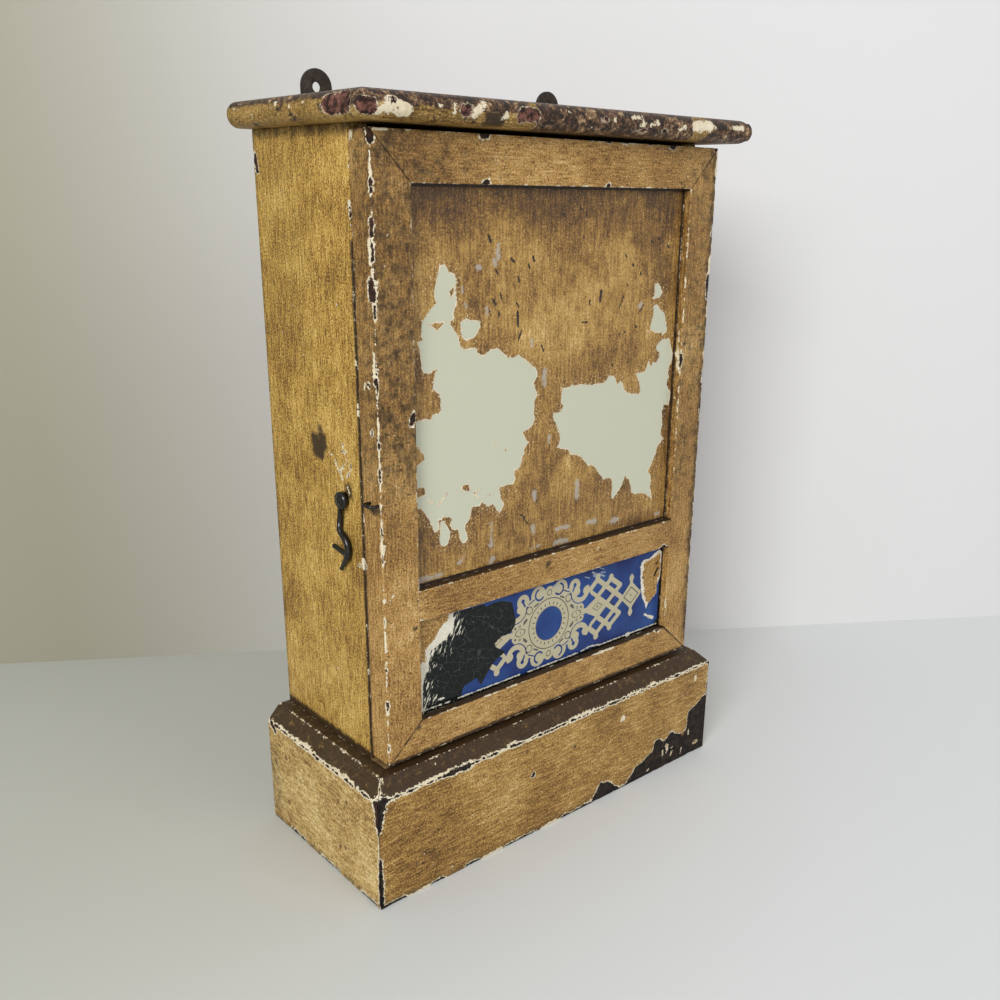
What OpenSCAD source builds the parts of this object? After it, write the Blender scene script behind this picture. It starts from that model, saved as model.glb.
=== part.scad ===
// Small wall cabinet with one glazed door, a plinth and two hanging plates.
// Millimetres. +X is to the right of a person facing it, +Y to the wall, +Z up.
// The origin is on the floor, in the middle of the cabinet's width and depth.

/* [Carcase] */
// Width over the side boards, and of the door
body_w = 305; // [240:1:400]
// Depth from the door's face to the back
body_d = 137; // [110:1:200]
// Height of the cupboard inside, from its floor to the top board
inside_h = 410; // [360:1:560]
// Thickness of a side board
side_t = 14; // [12:0.5:18]
// Thickness of the back panel
back_t = 8; // [6:0.5:10]
// Width of the rebate in each side board that holds the back panel
back_rebate = 7; // [5:0.5:9]
// Thickness of the floor board
floor_t = 12; // [9:0.5:16]
// Height of the rail inside that the hanging plates are screwed to
rail_h = 40; // [32:1:50]
// Thickness of that rail
rail_t = 12; // [12:0.5:16]

/* [Top board] */
// Thickness of the top board, whose edge is a half round
top_t = 16; // [12:0.5:22]
// Overhang past each side board
top_side = 16.5; // [12:0.5:30]
// Overhang in front of the door
top_front = 17; // [14:0.5:30]
// Radius of its front corners, seen from above
top_corner_r = 5; // [3:0.5:8]

/* [Plinth] */
// Height of the plinth
plinth_h = 95; // [80:1:130]
// Thickness of the plinth boards
plinth_t = 19.5; // [16:0.5:22]
// How far the plinth's face stands in front of the door
plinth_front = 14; // [8:0.5:14]
// Height of the chamfer along its top edge
chamfer_h = 11; // [6:0.5:14]
// Width of that chamfer
chamfer_w = 10.5; // [6:0.5:12]
// Width of the glue blocks in the front corners
block_w = 22; // [18:0.5:30]
// Gap between a glue block and the floor
block_lift = 5; // [2:0.5:12]

/* [Shelves] */
// Height of the lower shelf's underside above the floor board
lower_shelf_at = 130; // [80:1:160]
// Height of the upper shelf's underside above the floor board
upper_shelf_at = 265; // [200:1:300]
// Thickness of a shelf
shelf_t = 9; // [6:0.5:12]
// How far a shelf's front stands behind the door
shelf_setback = 6; // [3:0.5:20]
// Gap between the end of a shelf and the side board
shelf_play = 0.5; // [0.3:0.1:1]
// Side of a shelf cleat's square section
cleat_s = 10; // [8:0.5:14]

/* [Door] */
// Thickness of the door
door_t = 21; // [18:0.5:26]
// Gap between the door's back and the side boards
door_gap = 1.2; // [1:0.1:2]
// Gap under the door
gap_below = 3.5; // [2:0.5:5]
// Gap over the door
gap_above = 3; // [2:0.5:5]
// Width of a stile
stile_w = 28; // [24:0.5:36]
// Width of the top rail
top_rail_w = 29; // [24:0.5:40]
// Width of the middle rail
mid_rail_w = 22.5; // [18:0.5:32]
// Width of the bottom rail
bottom_rail_w = 26; // [24:0.5:40]
// Height of the lower panel as seen between the rails
lower_light_h = 72.5; // [50:0.5:90]
// Thickness of the frame in front of the glass
lip_t = 7; // [5:0.5:9]
// Width of the rebate behind the frame's inner edge
rebate_w = 6; // [5:0.5:8]
// Thickness of the glass
glass_t = 3; // [2:0.5:4]
// Thickness of a backing board
backing_t = 5; // [3:0.5:6]
// Gap round the glass and the backing in the rebate
glass_play = 0.5; // [0.3:0.1:1]
// Radius of a brad that holds a backing board
brad_r = 0.6; // [0.5:0.1:0.8]
// Length of such a brad
brad_l = 12; // [10:0.5:13]
// How far a brad stands out of the frame, over the backing board
brad_out = 5; // [3:0.5:5.5]
// Length of the tenons on the middle rail
tenon_l = 12; // [8:0.5:16]
// Thickness of those tenons
tenon_t = 7; // [5:0.5:8]

/* [Hinges] */
// Height of a butt hinge
hinge_h = 50; // [40:1:64]
// Distance from the door's top or bottom edge to the nearer end of a hinge
hinge_inset = 45; // [35:1:60]
// Width of a leaf on the wood
leaf_w = 12; // [11:0.5:12]
// Thickness of a leaf
leaf_t = 1.1; // [0.9:0.1:1.3]
// Radius of a knuckle
knuckle_r = 2.6; // [2.3:0.1:3.2]
// Radius of a hinge pin
pin_r = 1.3; // [1:0.1:1.5]
// Radial clearance of a pin in a knuckle
pin_fit = 0.05; // [0.02:0.01:0.08]
// Length of a hinge screw
hinge_screw_l = 11; // [9:0.5:14]
// Distance from the end of a hinge to its outer screws
hinge_screw_inset = 8; // [6:0.5:12]

/* [Hanging plates] */
// Distance from the side of the body to the middle of a plate
plate_inset = 48.5; // [35:0.5:70]
// Width of a plate and of its ear
plate_w = 23; // [18:0.5:30]
// Thickness of a plate
plate_t = 2; // [1.5:0.1:3]
// Height of the ear's hole above the top board
ear_rise = 12.5; // [10:0.5:32]
// Radius of the ear's hole
ear_hole_r = 3.25; // [2:0.05:4]
// Length of the plate below the top board
plate_drop = 32; // [24:1:40]
// Length of a plate's screw
plate_screw_l = 16; // [12:0.5:18]

/* [Hook] */
// Distance from the door's face back to the hook's pivot
pivot_back = 42; // [40:0.5:46]
// Height of the pivot above the floor
pivot_z = 278; // [240:1:320]
// Radius of the hook's round bar
bar_r = 2; // [1.6:0.1:2.1]
// How much thicker the bar is in the bow, all round
bow_swell = 0.3; // [0:0.05:0.4]
// Gap between the hook and the side board
hook_gap = 0.3; // [0.2:0.05:0.6]
// Radius of the hook's eye
eye_r = 5.6; // [4.5:0.1:6.5]
// Radius of the pivot screw's shank
pivot_r = 1.8; // [1.4:0.1:2.2]
// Radial clearance of the hook on its screw
pivot_fit = 0.08; // [0.03:0.01:0.1]
// Radius of the bow between the shank and the tail
bow_r = 9.2; // [8:0.1:10]
// Radius of the staple's wire
staple_r = 1.1; // [0.8:0.1:1.3]
// Distance between the staple's legs
staple_w = 9; // [8:0.1:9.4]
// Distance from the door's face to the staple's front leg
staple_back = 2.6; // [2.4:0.1:3.2]
// How far the middle of the staple's wire stands out from the door
staple_out = 6; // [5.5:0.1:8]
// Height of the staple above the pivot
staple_rise = 4.7; // [4:0.1:5.5]

/* [Nails] */
// Radius of a nail's shank
nail_r = 1; // [0.8:0.1:1.3]
// Length of a plinth nail
plinth_nail_l = 31; // [28:0.5:32]
// Length of a top board nail
top_nail_l = 42; // [36:1:50]
// Length of a back panel nail
back_nail_l = 20; // [16:1:24]
// Distance from the cupboard's front edge to the front nails of the top board and the plinth's ends
nail_front_inset = 15; // [12:1:24]
// Distance from the back to the rear nails of the top board and the plinth's ends
nail_back_inset = 26; // [24:1:40]
// Height of the lower plinth nails
plinth_nail_up = 24; // [16:1:30]
// Distance from the floor board down to the upper plinth nails
plinth_nail_down = 21; // [12:1:24]
// Distance from the top or the foot of the back panel to its nearest nails
back_nail_inset = 38; // [30:1:50]

/* [Hidden] */
$fn = 64;
// Radial clearance round screws, nails and the staple's legs in wood
wood_fit = 0.05;
// How far a cut runs past the face that it opens
cut = 1;

half_w = body_w / 2;
inner_x = half_w - side_t;
total_d = body_d + top_front;
back_y = total_d / 2;
door_y = back_y - body_d;
door_back_y = door_y + door_t;
carcase_y = door_back_y + door_gap;
inside_back_y = back_y - back_t;
plinth_y = door_y - plinth_front;
plinth_in_y = plinth_y + plinth_t;
side_h = plinth_h + inside_h;

door_z0 = plinth_h + gap_below;
door_z1 = side_h - gap_above;
lower_z0 = door_z0 + bottom_rail_w;
lower_z1 = lower_z0 + lower_light_h;
upper_z0 = lower_z1 + mid_rail_w;
upper_z1 = door_z1 - top_rail_w;
light_x = half_w - stile_w;

glass_y = door_y + lip_t;
backing_y = glass_y + glass_t;
brad_y = backing_y + backing_t + brad_r;
brad_x = light_x + rebate_w - brad_out + brad_l / 2;

// The hinge axis stands off the body by the knuckle's radius and a little air
knuckle_air = 0.3;
axis_x = half_w + knuckle_r + knuckle_air;
axis_y = (door_back_y + carcase_y) / 2;
// Gap from the axis's plane to each leaf
leaf_gap = 0.1;
// Gap between a knuckle of the door and its neighbours
knuckle_play = 0.15;
pin_button_r = knuckle_r - 0.4;
pin_button_h = 1;
hinge_upper_z = door_z1 - hinge_inset - hinge_h / 2;
hinge_lower_z = door_z0 + hinge_inset + hinge_h / 2;
hinge_screw_x = half_w - leaf_w / 2;
hinge_screw_r = 1.3;
hinge_head_r = 2.5;
hinge_screws_at = [-hinge_h / 2 + hinge_screw_inset, 0, hinge_h / 2 - hinge_screw_inset];

plate_x = half_w - plate_inset;
plate_screws_z = [side_h + top_t / 2, side_h - plate_drop / 2];
plate_screw_r = 1.6;
plate_head_r = 3.3;
slot_w = 0.8;
slot_d = 0.7;

pivot_y = door_y + pivot_back;
bow_bar_r = bar_r + bow_swell;
hook_x = -half_w - hook_gap - bow_bar_r;
staple_y = door_y + staple_back;
staple_z = pivot_z + staple_rise;
// Radius of the staple's corners, and how deep the holes of its legs go
staple_bend = 2.4;
staple_hole_in = 10;
// Air between the end of a leg and the end of its hole
leg_end_air = 0.5;

// The hook's middle line beside the side board, from its pivot, as it hangs by its weight.
// Headings are angles from +Y towards +Z. The bar runs straight down the shank, turns at the
// elbow, runs the step, turns back in the bow and ends in the tail. The nose starts at the
// angle nose_root_at on the bow and ends at nose_tip, which is counted from the pivot.
shank_heading = -78.1;
shank_l = 19.9;
elbow_r = 3;
elbow_turn = 69.5;
step_l = 5;
bow_turn = 96;
tail_l = 12;
tail_tip_r = 1.2;
tail_ball_r = 1.5;
nose_root_at = 206.4;
nose_root_in = 0.7;
nose_tip = [11.5, -34.5];
nose_r = [1.9, 1.6];
nose_ball_r = 1.75;
// The eye is hammered flat, this much thinner than the bar
eye_flat = 0.3;
eye_t = 2 * bar_r - eye_flat;
// The bar is this much thicker in a bend, so that a straight stretch ends inside it
bend_swell = 0.04;
// How far a straight stretch runs into the bends at its ends
lap = 0.3;
eye_hole_r = pivot_r + pivot_fit;
pivot_head_r = 3.6;
pivot_head_h = 2.2;
pivot_slot_w = 0.9;
pivot_slot_d = 0.9;
pivot_screw_in = 12;
pivot_point_l = 3;
pivot_point_r = 0.4;
// Air between the hook's eye and the head of its screw
head_air = 0.1;

side_nails_y = [carcase_y + nail_front_inset, back_y - nail_back_inset];
plinth_nails_z = [plinth_nail_up, plinth_h - floor_t - plinth_nail_down];
back_nails = 4;
back_nail_step = (side_h - 2 * back_nail_inset) / (back_nails - 1);
nail_head_r = 1.9;
nail_head_t = 1;
nail_tip_r = 0.2;

// A box from its lowest to its highest corner
module block(low, high) {
    translate(low) cube(high - low);
}

// A profile of (y, z) points, carried along X from x0 to x1
module along_x(x0, x1) {
    translate([x0, 0, 0]) rotate([90, 0, 90]) linear_extrude(x1 - x0) children();
}

// A profile of (x, z) points, carried along Y from y0 to y1
module along_y(y0, y1) {
    translate([0, y1, 0]) rotate([90, 0, 0]) linear_extrude(y1 - y0) children();
}

// A round bar between two points, with a radius at each end
module bar(p, q, r0, r1) {
    v = q - p;
    flat = norm([v[0], v[1]]);
    translate(p) rotate([0, atan2(flat, v[2]), atan2(v[1], v[0])])
        cylinder(r1 = r0, r2 = r1, h = norm(v));
}

// A slotted countersunk screw: its head is flush with z = 0 and it points down
module screw(head_r, shank_r, length) {
    head_h = head_r - shank_r;
    difference() {
        rotate_extrude() polygon([
            [0, 0], [head_r, 0], [shank_r, -head_h], [shank_r, -length + 2 * shank_r], [0, -length]
        ]);
        block([-head_r, -slot_w / 2, -slot_d], [head_r, slot_w / 2, cut]);
    }
}

// The hole that such a screw fills
module screw_hole(head_r, shank_r, length) {
    r = shank_r + wood_fit;
    head = head_r + wood_fit;
    end = -length - wood_fit;
    rotate_extrude() polygon([
        [0, cut], [head, cut], [head, 0], [r, shank_r - head_r], [r, end], [0, end]
    ]);
}

// A nail with a small flat head, flush with z = 0, pointing down
module nail(length) {
    point_l = 2 * nail_r;
    translate([0, 0, -nail_head_t]) cylinder(r = nail_head_r, h = nail_head_t);
    translate([0, 0, point_l - length]) cylinder(r = nail_r, h = length - point_l - nail_head_t / 2);
    translate([0, 0, -length]) cylinder(r1 = nail_tip_r, r2 = nail_r, h = point_l);
}

module nail_hole(length) {
    translate([0, 0, -length - wood_fit]) cylinder(r = nail_r + wood_fit, h = length + wood_fit + cut);
    translate([0, 0, -nail_head_t]) cylinder(r = nail_head_r + wood_fit, h = nail_head_t + cut);
}

// Places along the carcase at which the same fastener is used

module at_top_nails() {
    for (s = [-1, 1], y = side_nails_y)
        translate([s * (half_w - side_t / 2), y, side_h + top_t]) children();
}

module at_plinth_nails() {
    for (s = [-1, 1], z = plinth_nails_z) {
        for (y = side_nails_y)
            translate([s * (half_w + plinth_t), y, z]) rotate([0, s * 90, 0]) children();
        translate([s * (half_w - block_w / 2), plinth_y, z]) rotate([90, 0, 0]) children();
    }
}

module at_back_nails() {
    for (s = [-1, 1], i = [0 : back_nails - 1])
        translate([s * (inner_x + back_rebate / 2), back_y, back_nail_inset + i * back_nail_step])
            rotate([-90, 0, 0]) children();
}

module at_plate_screws() {
    for (s = [-1, 1], z = plate_screws_z)
        translate([s * plate_x, back_y, z]) rotate([-90, 0, 0]) children();
}

// Screws of both hinges: into the side board, or into the door
module at_hinge_screws(into_door) {
    for (c = [hinge_lower_z, hinge_upper_z], dz = hinge_screws_at)
        translate([hinge_screw_x, axis_y + (into_door ? -leaf_gap : leaf_gap), c + dz])
            rotate([into_door ? -90 : 90, 0, 0]) children();
}

module at_brads() {
    lights = [[lower_z0, lower_z1, [0.5]], [upper_z0, upper_z1, [0.12, 0.5, 0.88]]];
    for (s = [-1, 1], light = lights, f = light[2])
        translate([s * brad_x, brad_y, light[0] + f * (light[1] - light[0])])
            rotate([0, s * 90, 0]) children();
}

// One side board, where s is -1 for the left and 1 for the right
module side_board(s) {
    difference() {
        scale([s, 1, 1]) difference() {
            block([inner_x, carcase_y, 0], [half_w, back_y, side_h]);
            block([inner_x - cut, inside_back_y, -cut],
                  [inner_x + back_rebate, back_y + cut, side_h + cut]);
        }
        at_top_nails() nail_hole(top_nail_l);
        at_plinth_nails() nail_hole(plinth_nail_l);
        at_back_nails() nail_hole(back_nail_l);
        if (s > 0) {
            hinge_beds(false);
            at_hinge_screws(false) screw_hole(hinge_head_r, hinge_screw_r, hinge_screw_l);
        }
        else
            translate([-half_w - cut, pivot_y, pivot_z]) rotate([0, 90, 0])
                cylinder(r = pivot_r + wood_fit, h = pivot_screw_in + cut);
    }
}

module side_left() {
    color("#b0894e") side_board(-1);
}

module side_right() {
    color("#b0894e") side_board(1);
}

// The top board: a half round along its front and ends, square at the back
module top_board() {
    r = top_t / 2;
    end_x = half_w + top_side;
    front_y = door_y - top_front;
    color("#6b4a2a") difference() {
        intersection() {
            along_x(-end_x, end_x) translate([0, side_h]) {
                translate([front_y + r, r]) circle(r);
                translate([front_y + r, 0]) square([back_y - front_y - r, top_t]);
            }
            along_y(front_y, back_y) translate([0, side_h]) {
                for (s = [-1, 1]) translate([s * (end_x - r), r]) circle(r);
                translate([-end_x + r, 0]) square([2 * (end_x - r), top_t]);
            }
            translate([0, 0, side_h - cut]) linear_extrude(top_t + 2 * cut) union() {
                for (s = [-1, 1])
                    translate([s * (end_x - top_corner_r), front_y + top_corner_r]) circle(top_corner_r);
                translate([-end_x + top_corner_r, front_y]) square([2 * (end_x - top_corner_r), total_d]);
                translate([-end_x, front_y + top_corner_r]) square([2 * end_x, total_d - top_corner_r]);
            }
        }
        plate_pockets();
        at_top_nails() nail_hole(top_nail_l);
        at_plate_screws() screw_hole(plate_head_r, plate_screw_r, plate_screw_l);
    }
}

// The floor board lies between the side boards and runs forward to the plinth
module floor_board() {
    color("#8a6a42") translate([0, 0, plinth_h - floor_t]) linear_extrude(floor_t) polygon([
        [-half_w, plinth_in_y], [half_w, plinth_in_y], [half_w, carcase_y], [inner_x, carcase_y],
        [inner_x, inside_back_y], [-inner_x, inside_back_y], [-inner_x, carcase_y], [-half_w, carcase_y]
    ]);
}

module back_panel() {
    w = inner_x + back_rebate;
    color("#7d5f3c") difference() {
        block([-w, inside_back_y, 0], [w, back_y, side_h]);
        plate_pockets();
        at_plate_screws() screw_hole(plate_head_r, plate_screw_r, plate_screw_l);
        at_back_nails() nail_hole(back_nail_l);
    }
}

module hanging_rail() {
    color("#8a6a42") difference() {
        block([-inner_x, inside_back_y - rail_t, side_h - rail_h], [inner_x, inside_back_y, side_h]);
        at_plate_screws() screw_hole(plate_head_r, plate_screw_r, plate_screw_l);
    }
}

module shelf(at) {
    x = inner_x - shelf_play;
    z = plinth_h + at;
    color("#8a6a42") block([-x, door_back_y + shelf_setback, z], [x, inside_back_y, z + shelf_t]);
}

// A cleat under the end of a shelf
module cleat(s, at) {
    z = plinth_h + at;
    color("#8a6a42") scale([s, 1, 1])
        block([inner_x - cleat_s, door_back_y + shelf_setback, z - cleat_s], [inner_x, inside_back_y, z]);
}

// The section of a plinth board: outwards from its inner face, and up
module plinth_profile() {
    polygon([
        [0, 0], [plinth_t, 0], [plinth_t, plinth_h - chamfer_h], [plinth_t - chamfer_w, plinth_h],
        [0, plinth_h]
    ]);
}

module plinth_front_board() {
    out_x = half_w + plinth_t;
    color("#94714a") difference() {
        intersection() {
            along_x(-out_x, out_x) translate([plinth_in_y, 0]) mirror([1, 0]) plinth_profile();
            linear_extrude(plinth_h) polygon([
                [-out_x, plinth_y], [out_x, plinth_y], [half_w, plinth_in_y], [-half_w, plinth_in_y]
            ]);
        }
        at_plinth_nails() nail_hole(plinth_nail_l);
    }
}

module plinth_side_board(s) {
    out_x = half_w + plinth_t;
    color("#b59c68") difference() {
        scale([s, 1, 1]) intersection() {
            along_y(plinth_y, back_y) translate([half_w, 0]) plinth_profile();
            linear_extrude(plinth_h) polygon([
                [out_x, plinth_y], [out_x, back_y], [half_w, back_y], [half_w, plinth_in_y]
            ]);
        }
        at_plinth_nails() nail_hole(plinth_nail_l);
    }
}

module glue_blocks() {
    color("#8a6a42") difference() {
        for (s = [-1, 1]) scale([s, 1, 1])
            block([half_w - block_w, plinth_in_y, block_lift], [half_w, carcase_y, plinth_h - floor_t]);
        at_plinth_nails() nail_hole(plinth_nail_l);
    }
}

// A hanging plate: a flat strip with a round ear, let in flush at the back
module plate_outline(x) {
    translate([x, 0]) {
        translate([0, side_h + top_t + ear_rise]) circle(plate_w / 2);
        translate([-plate_w / 2, side_h - plate_drop])
            square([plate_w, plate_drop + top_t + ear_rise]);
    }
}

module plate_pockets() {
    for (s = [-1, 1]) along_y(back_y - plate_t, back_y + cut) plate_outline(s * plate_x);
}

module hanging_plate(s) {
    color("#54463a") difference() {
        along_y(back_y - plate_t, back_y) plate_outline(s * plate_x);
        at_plate_screws() screw_hole(plate_head_r, plate_screw_r, plate_screw_l);
        translate([s * plate_x, back_y + cut, side_h + top_t + ear_rise]) rotate([90, 0, 0])
            cylinder(r = ear_hole_r, h = plate_t + 2 * cut);
    }
}

// The middle rail's tenons, or the mortises in the stiles when they are given some air
module tenons(air) {
    x = light_x + tenon_l + air;
    y = (glass_y + door_back_y) / 2;
    block([-x, y - tenon_t / 2 - air, lower_z1 + rebate_w - air],
          [x, y + tenon_t / 2 + air, upper_z0 - rebate_w + air]);
}

// The whole door frame in one, with its two openings and their rebates
module door_frame() {
    difference() {
        block([-half_w, door_y, door_z0], [half_w, door_back_y, door_z1]);
        for (light = [[lower_z0, lower_z1], [upper_z0, upper_z1]]) {
            block([-light_x, door_y - cut, light[0]], [light_x, door_back_y + cut, light[1]]);
            block([-light_x - rebate_w, glass_y, light[0] - rebate_w],
                  [light_x + rebate_w, door_back_y + cut, light[1] + rebate_w]);
        }
        hinge_beds(true);
        at_hinge_screws(true) screw_hole(hinge_head_r, hinge_screw_r, hinge_screw_l);
        at_brads() cylinder(r = brad_r + wood_fit, h = brad_l + 2 * wood_fit, center = true);
        for (y = [staple_y, staple_y + staple_w])
            bar([-half_w - cut, y, staple_z], [-half_w + staple_hole_in, y, staple_z],
                staple_r + wood_fit, staple_r + wood_fit);
    }
}

// One member of the frame, cut from it by its mitres: an outline of (x, z) points
module door_member(outline) {
    color("#99774a") intersection() {
        door_frame();
        along_y(door_y - cut, door_back_y + cut) polygon(outline);
    }
}

module door_stile(s) {
    difference() {
        door_member([
            [s * half_w, door_z0], [s * half_w, door_z1], [s * light_x, upper_z1], [s * light_x, lower_z0]
        ]);
        tenons(wood_fit);
    }
}

module door_top_rail() {
    door_member([[-half_w, door_z1], [-light_x, upper_z1], [light_x, upper_z1], [half_w, door_z1]]);
}

module door_middle_rail() {
    door_member([[-light_x, lower_z1], [light_x, lower_z1], [light_x, upper_z0], [-light_x, upper_z0]]);
    color("#99774a") tenons(0);
}

module door_bottom_rail() {
    door_member([[-half_w, door_z0], [half_w, door_z0], [light_x, lower_z0], [-light_x, lower_z0]]);
}

// A sheet that lies in a rebate round an opening, from y0 to y1
module rebate_sheet(z0, z1, y0, y1) {
    lap = rebate_w - glass_play;
    block([-light_x - lap, y0, z0 - lap], [light_x + lap, y1, z1 + lap]);
}

module glass(z0, z1, tint) {
    color(tint) rebate_sheet(z0, z1, glass_y, backing_y);
}

module backing(z0, z1) {
    color("#6f5233") rebate_sheet(z0, z1, backing_y, backing_y + backing_t);
}

module backing_brads() {
    color("#4a4038") at_brads() cylinder(r = brad_r, h = brad_l, center = true, $fn = 24);
}

// The shallow beds of the leaves, in the door's back or in the side board's front edge
module hinge_beds(in_door) {
    y0 = in_door ? axis_y - leaf_gap - leaf_t : carcase_y - cut;
    y1 = in_door ? door_back_y + cut : axis_y + leaf_gap + leaf_t;
    for (c = [hinge_lower_z, hinge_upper_z])
        block([half_w - leaf_w, y0, c - hinge_h / 2], [half_w + cut, y1, c + hinge_h / 2]);
}

// One leaf of a hinge whose middle is at height c; the door's has the middle knuckle
module hinge_leaf(c, for_door) {
    third = hinge_h / 3;
    y0 = for_door ? axis_y - leaf_gap - leaf_t : axis_y + leaf_gap;
    knuckles = for_door ? [[-third / 2 + knuckle_play, third / 2 - knuckle_play]]
                        : [[-hinge_h / 2, -third / 2], [third / 2, hinge_h / 2]];
    color("#7a6a4a") difference() {
        union() {
            block([half_w - leaf_w, y0, c - hinge_h / 2], [half_w, y0 + leaf_t, c + hinge_h / 2]);
            for (k = knuckles) {
                block([half_w - cut, y0, c + k[0]], [axis_x, y0 + leaf_t, c + k[1]]);
                translate([axis_x, axis_y, c + k[0]]) cylinder(r = knuckle_r, h = k[1] - k[0]);
            }
        }
        translate([axis_x, axis_y, c]) cylinder(r = pin_r + pin_fit, h = hinge_h + 2 * cut, center = true);
        at_hinge_screws(for_door) screw_hole(hinge_head_r, hinge_screw_r, hinge_screw_l);
    }
}

// The pins, with a flat button on each end
module hinge_pins() {
    color("#6a5c42") for (c = [hinge_lower_z, hinge_upper_z]) translate([axis_x, axis_y, c]) {
        cylinder(r = pin_r, h = hinge_h, center = true);
        for (s = [-1, 1]) translate([0, 0, s * (hinge_h + pin_button_h) / 2])
            cylinder(r = pin_button_r, h = pin_button_h, center = true);
    }
}

module hinge_screws(into_door) {
    color("#8f8068") at_hinge_screws(into_door) screw(hinge_head_r, hinge_screw_r, hinge_screw_l);
}

// Turns (y, z) from the pivot into a point on the hook's middle plane
function on_hook(p) = [hook_x, pivot_y + p[0], pivot_z + p[1]];
function heading(a) = [cos(a), sin(a)];

shank_end = shank_l * heading(shank_heading);
elbow_at = shank_end + elbow_r * heading(shank_heading - 90);
step_heading = shank_heading - elbow_turn;
step_start = elbow_at + elbow_r * heading(step_heading + 90);
bow_start = step_start + step_l * heading(step_heading);
bow_at = bow_start + bow_r * heading(step_heading + 90);
tail_heading = step_heading + bow_turn;
bow_end = bow_at + bow_r * heading(tail_heading - 90);
tail_end = bow_end + tail_l * heading(tail_heading);
nose_root = bow_at + (bow_r - nose_root_in) * heading(nose_root_at);

// A bend of a bar of radius bend_r about a centre, from one angle to another
module bend(centre, r, a0, a1, bend_r) {
    translate(on_hook(centre)) rotate([90, 0, 90]) rotate([0, 0, a0])
        rotate_extrude(angle = a1 - a0) translate([r, 0]) circle(bend_r + bend_swell);
}

// A straight stretch from p to q, of radius r0 at p and r1 at q
module straight(p, q, r0, r1) {
    run = (q - p) / norm(q - p) * lap;
    bar(on_hook(p - run), on_hook(q + run), r0, r1);
}

module hook() {
    color("#2b2723") difference() {
        union() {
            translate([hook_x, pivot_y, pivot_z]) rotate([0, 90, 0])
                cylinder(r = eye_r, h = eye_t, center = true);
            straight((eye_hole_r + eye_r) / 2 * heading(shank_heading), shank_end, bar_r, bar_r);
            bend(elbow_at, elbow_r, step_heading + 90, shank_heading + 90, bar_r);
            straight(step_start, bow_start, bar_r, bow_bar_r);
            bend(bow_at, bow_r, step_heading - 90, tail_heading - 90, bow_bar_r);
            straight(bow_end, tail_end, bow_bar_r, tail_tip_r);
            translate(on_hook(tail_end)) sphere(tail_ball_r);
            bar(on_hook(nose_root), on_hook(nose_tip), nose_r[0], nose_r[1]);
            translate(on_hook(nose_tip)) sphere(nose_ball_r);
        }
        translate([hook_x, pivot_y, pivot_z]) rotate([0, 90, 0])
            cylinder(r = eye_hole_r, h = 2 * (bar_r + cut), center = true);
    }
}

// A round-headed screw that the hook turns on
module hook_screw() {
    under_head = hook_gap + bow_bar_r + bar_r + head_air;
    top = under_head + pivot_head_h;
    dome_r = (pivot_head_r * pivot_head_r + pivot_head_h * pivot_head_h) / (2 * pivot_head_h);
    point_top = pivot_point_l - pivot_screw_in;
    color("#2b2723") translate([-half_w, pivot_y, pivot_z]) rotate([0, -90, 0]) difference() {
        union() {
            translate([0, 0, point_top]) cylinder(r = pivot_r, h = under_head - point_top);
            translate([0, 0, -pivot_screw_in])
                cylinder(r1 = pivot_point_r, r2 = pivot_r, h = pivot_point_l);
            intersection() {
                translate([0, 0, top - dome_r]) sphere(dome_r);
                translate([0, 0, under_head]) cylinder(r = pivot_head_r, h = pivot_head_h + cut);
            }
        }
        block([-pivot_head_r, -pivot_slot_w / 2, top - pivot_slot_d],
              [pivot_head_r, pivot_slot_w / 2, top + cut]);
    }
}

// A wire staple that lies flat, with its two legs in the door's edge
module staple() {
    crown_x = -half_w - staple_out;
    leg_x0 = crown_x + staple_bend;
    leg_x1 = -half_w + staple_hole_in - leg_end_air;
    front = staple_y + staple_bend;
    back = staple_y + staple_w - staple_bend;
    color("#3a3530") {
        for (y = [staple_y, staple_y + staple_w])
            bar([leg_x0, y, staple_z], [leg_x1, y, staple_z], staple_r, staple_r);
        bar([crown_x, front, staple_z], [crown_x, back, staple_z], staple_r, staple_r);
        for (corner = [[front, 180], [back, 90]])
            translate([leg_x0, corner[0], staple_z]) rotate([0, 0, corner[1]])
                rotate_extrude(angle = 90) translate([staple_bend, 0]) circle(staple_r);
    }
}

side_left();
side_right();
top_board();
floor_board();
back_panel();
hanging_rail();
shelf(lower_shelf_at);  // shelf_lower
shelf(upper_shelf_at);  // shelf_upper
cleat(-1, lower_shelf_at);  // cleat_lower_left
cleat(1, lower_shelf_at);  // cleat_lower_right
cleat(-1, upper_shelf_at);  // cleat_upper_left
cleat(1, upper_shelf_at);  // cleat_upper_right
plinth_front_board();  // plinth_front
plinth_side_board(-1);  // plinth_left
plinth_side_board(1);  // plinth_right
glue_blocks();
color("#5a4c3a") at_plinth_nails() nail(plinth_nail_l);  // plinth_nails
color("#5a4c3a") at_top_nails() nail(top_nail_l);  // top_nails
color("#5a4c3a") at_back_nails() nail(back_nail_l);  // back_nails
hanging_plate(-1);  // hanging_plate_left
hanging_plate(1);  // hanging_plate_right
color("#6b5a45") at_plate_screws() screw(plate_head_r, plate_screw_r, plate_screw_l);  // plate_screws
door_stile(-1);  // door_stile_left
door_stile(1);  // door_stile_right
door_top_rail();
door_middle_rail();
door_bottom_rail();
glass(upper_z0, upper_z1, "#c3c6b4");  // glass_upper
glass(lower_z0, lower_z1, "#2e4068");  // glass_lower
backing(upper_z0, upper_z1);  // backing_upper
backing(lower_z0, lower_z1);  // backing_lower
backing_brads();
hinge_leaf(hinge_upper_z, false);  // hinge_upper_frame_leaf
hinge_leaf(hinge_lower_z, false);  // hinge_lower_frame_leaf
hinge_leaf(hinge_upper_z, true);  // hinge_upper_door_leaf
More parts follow.
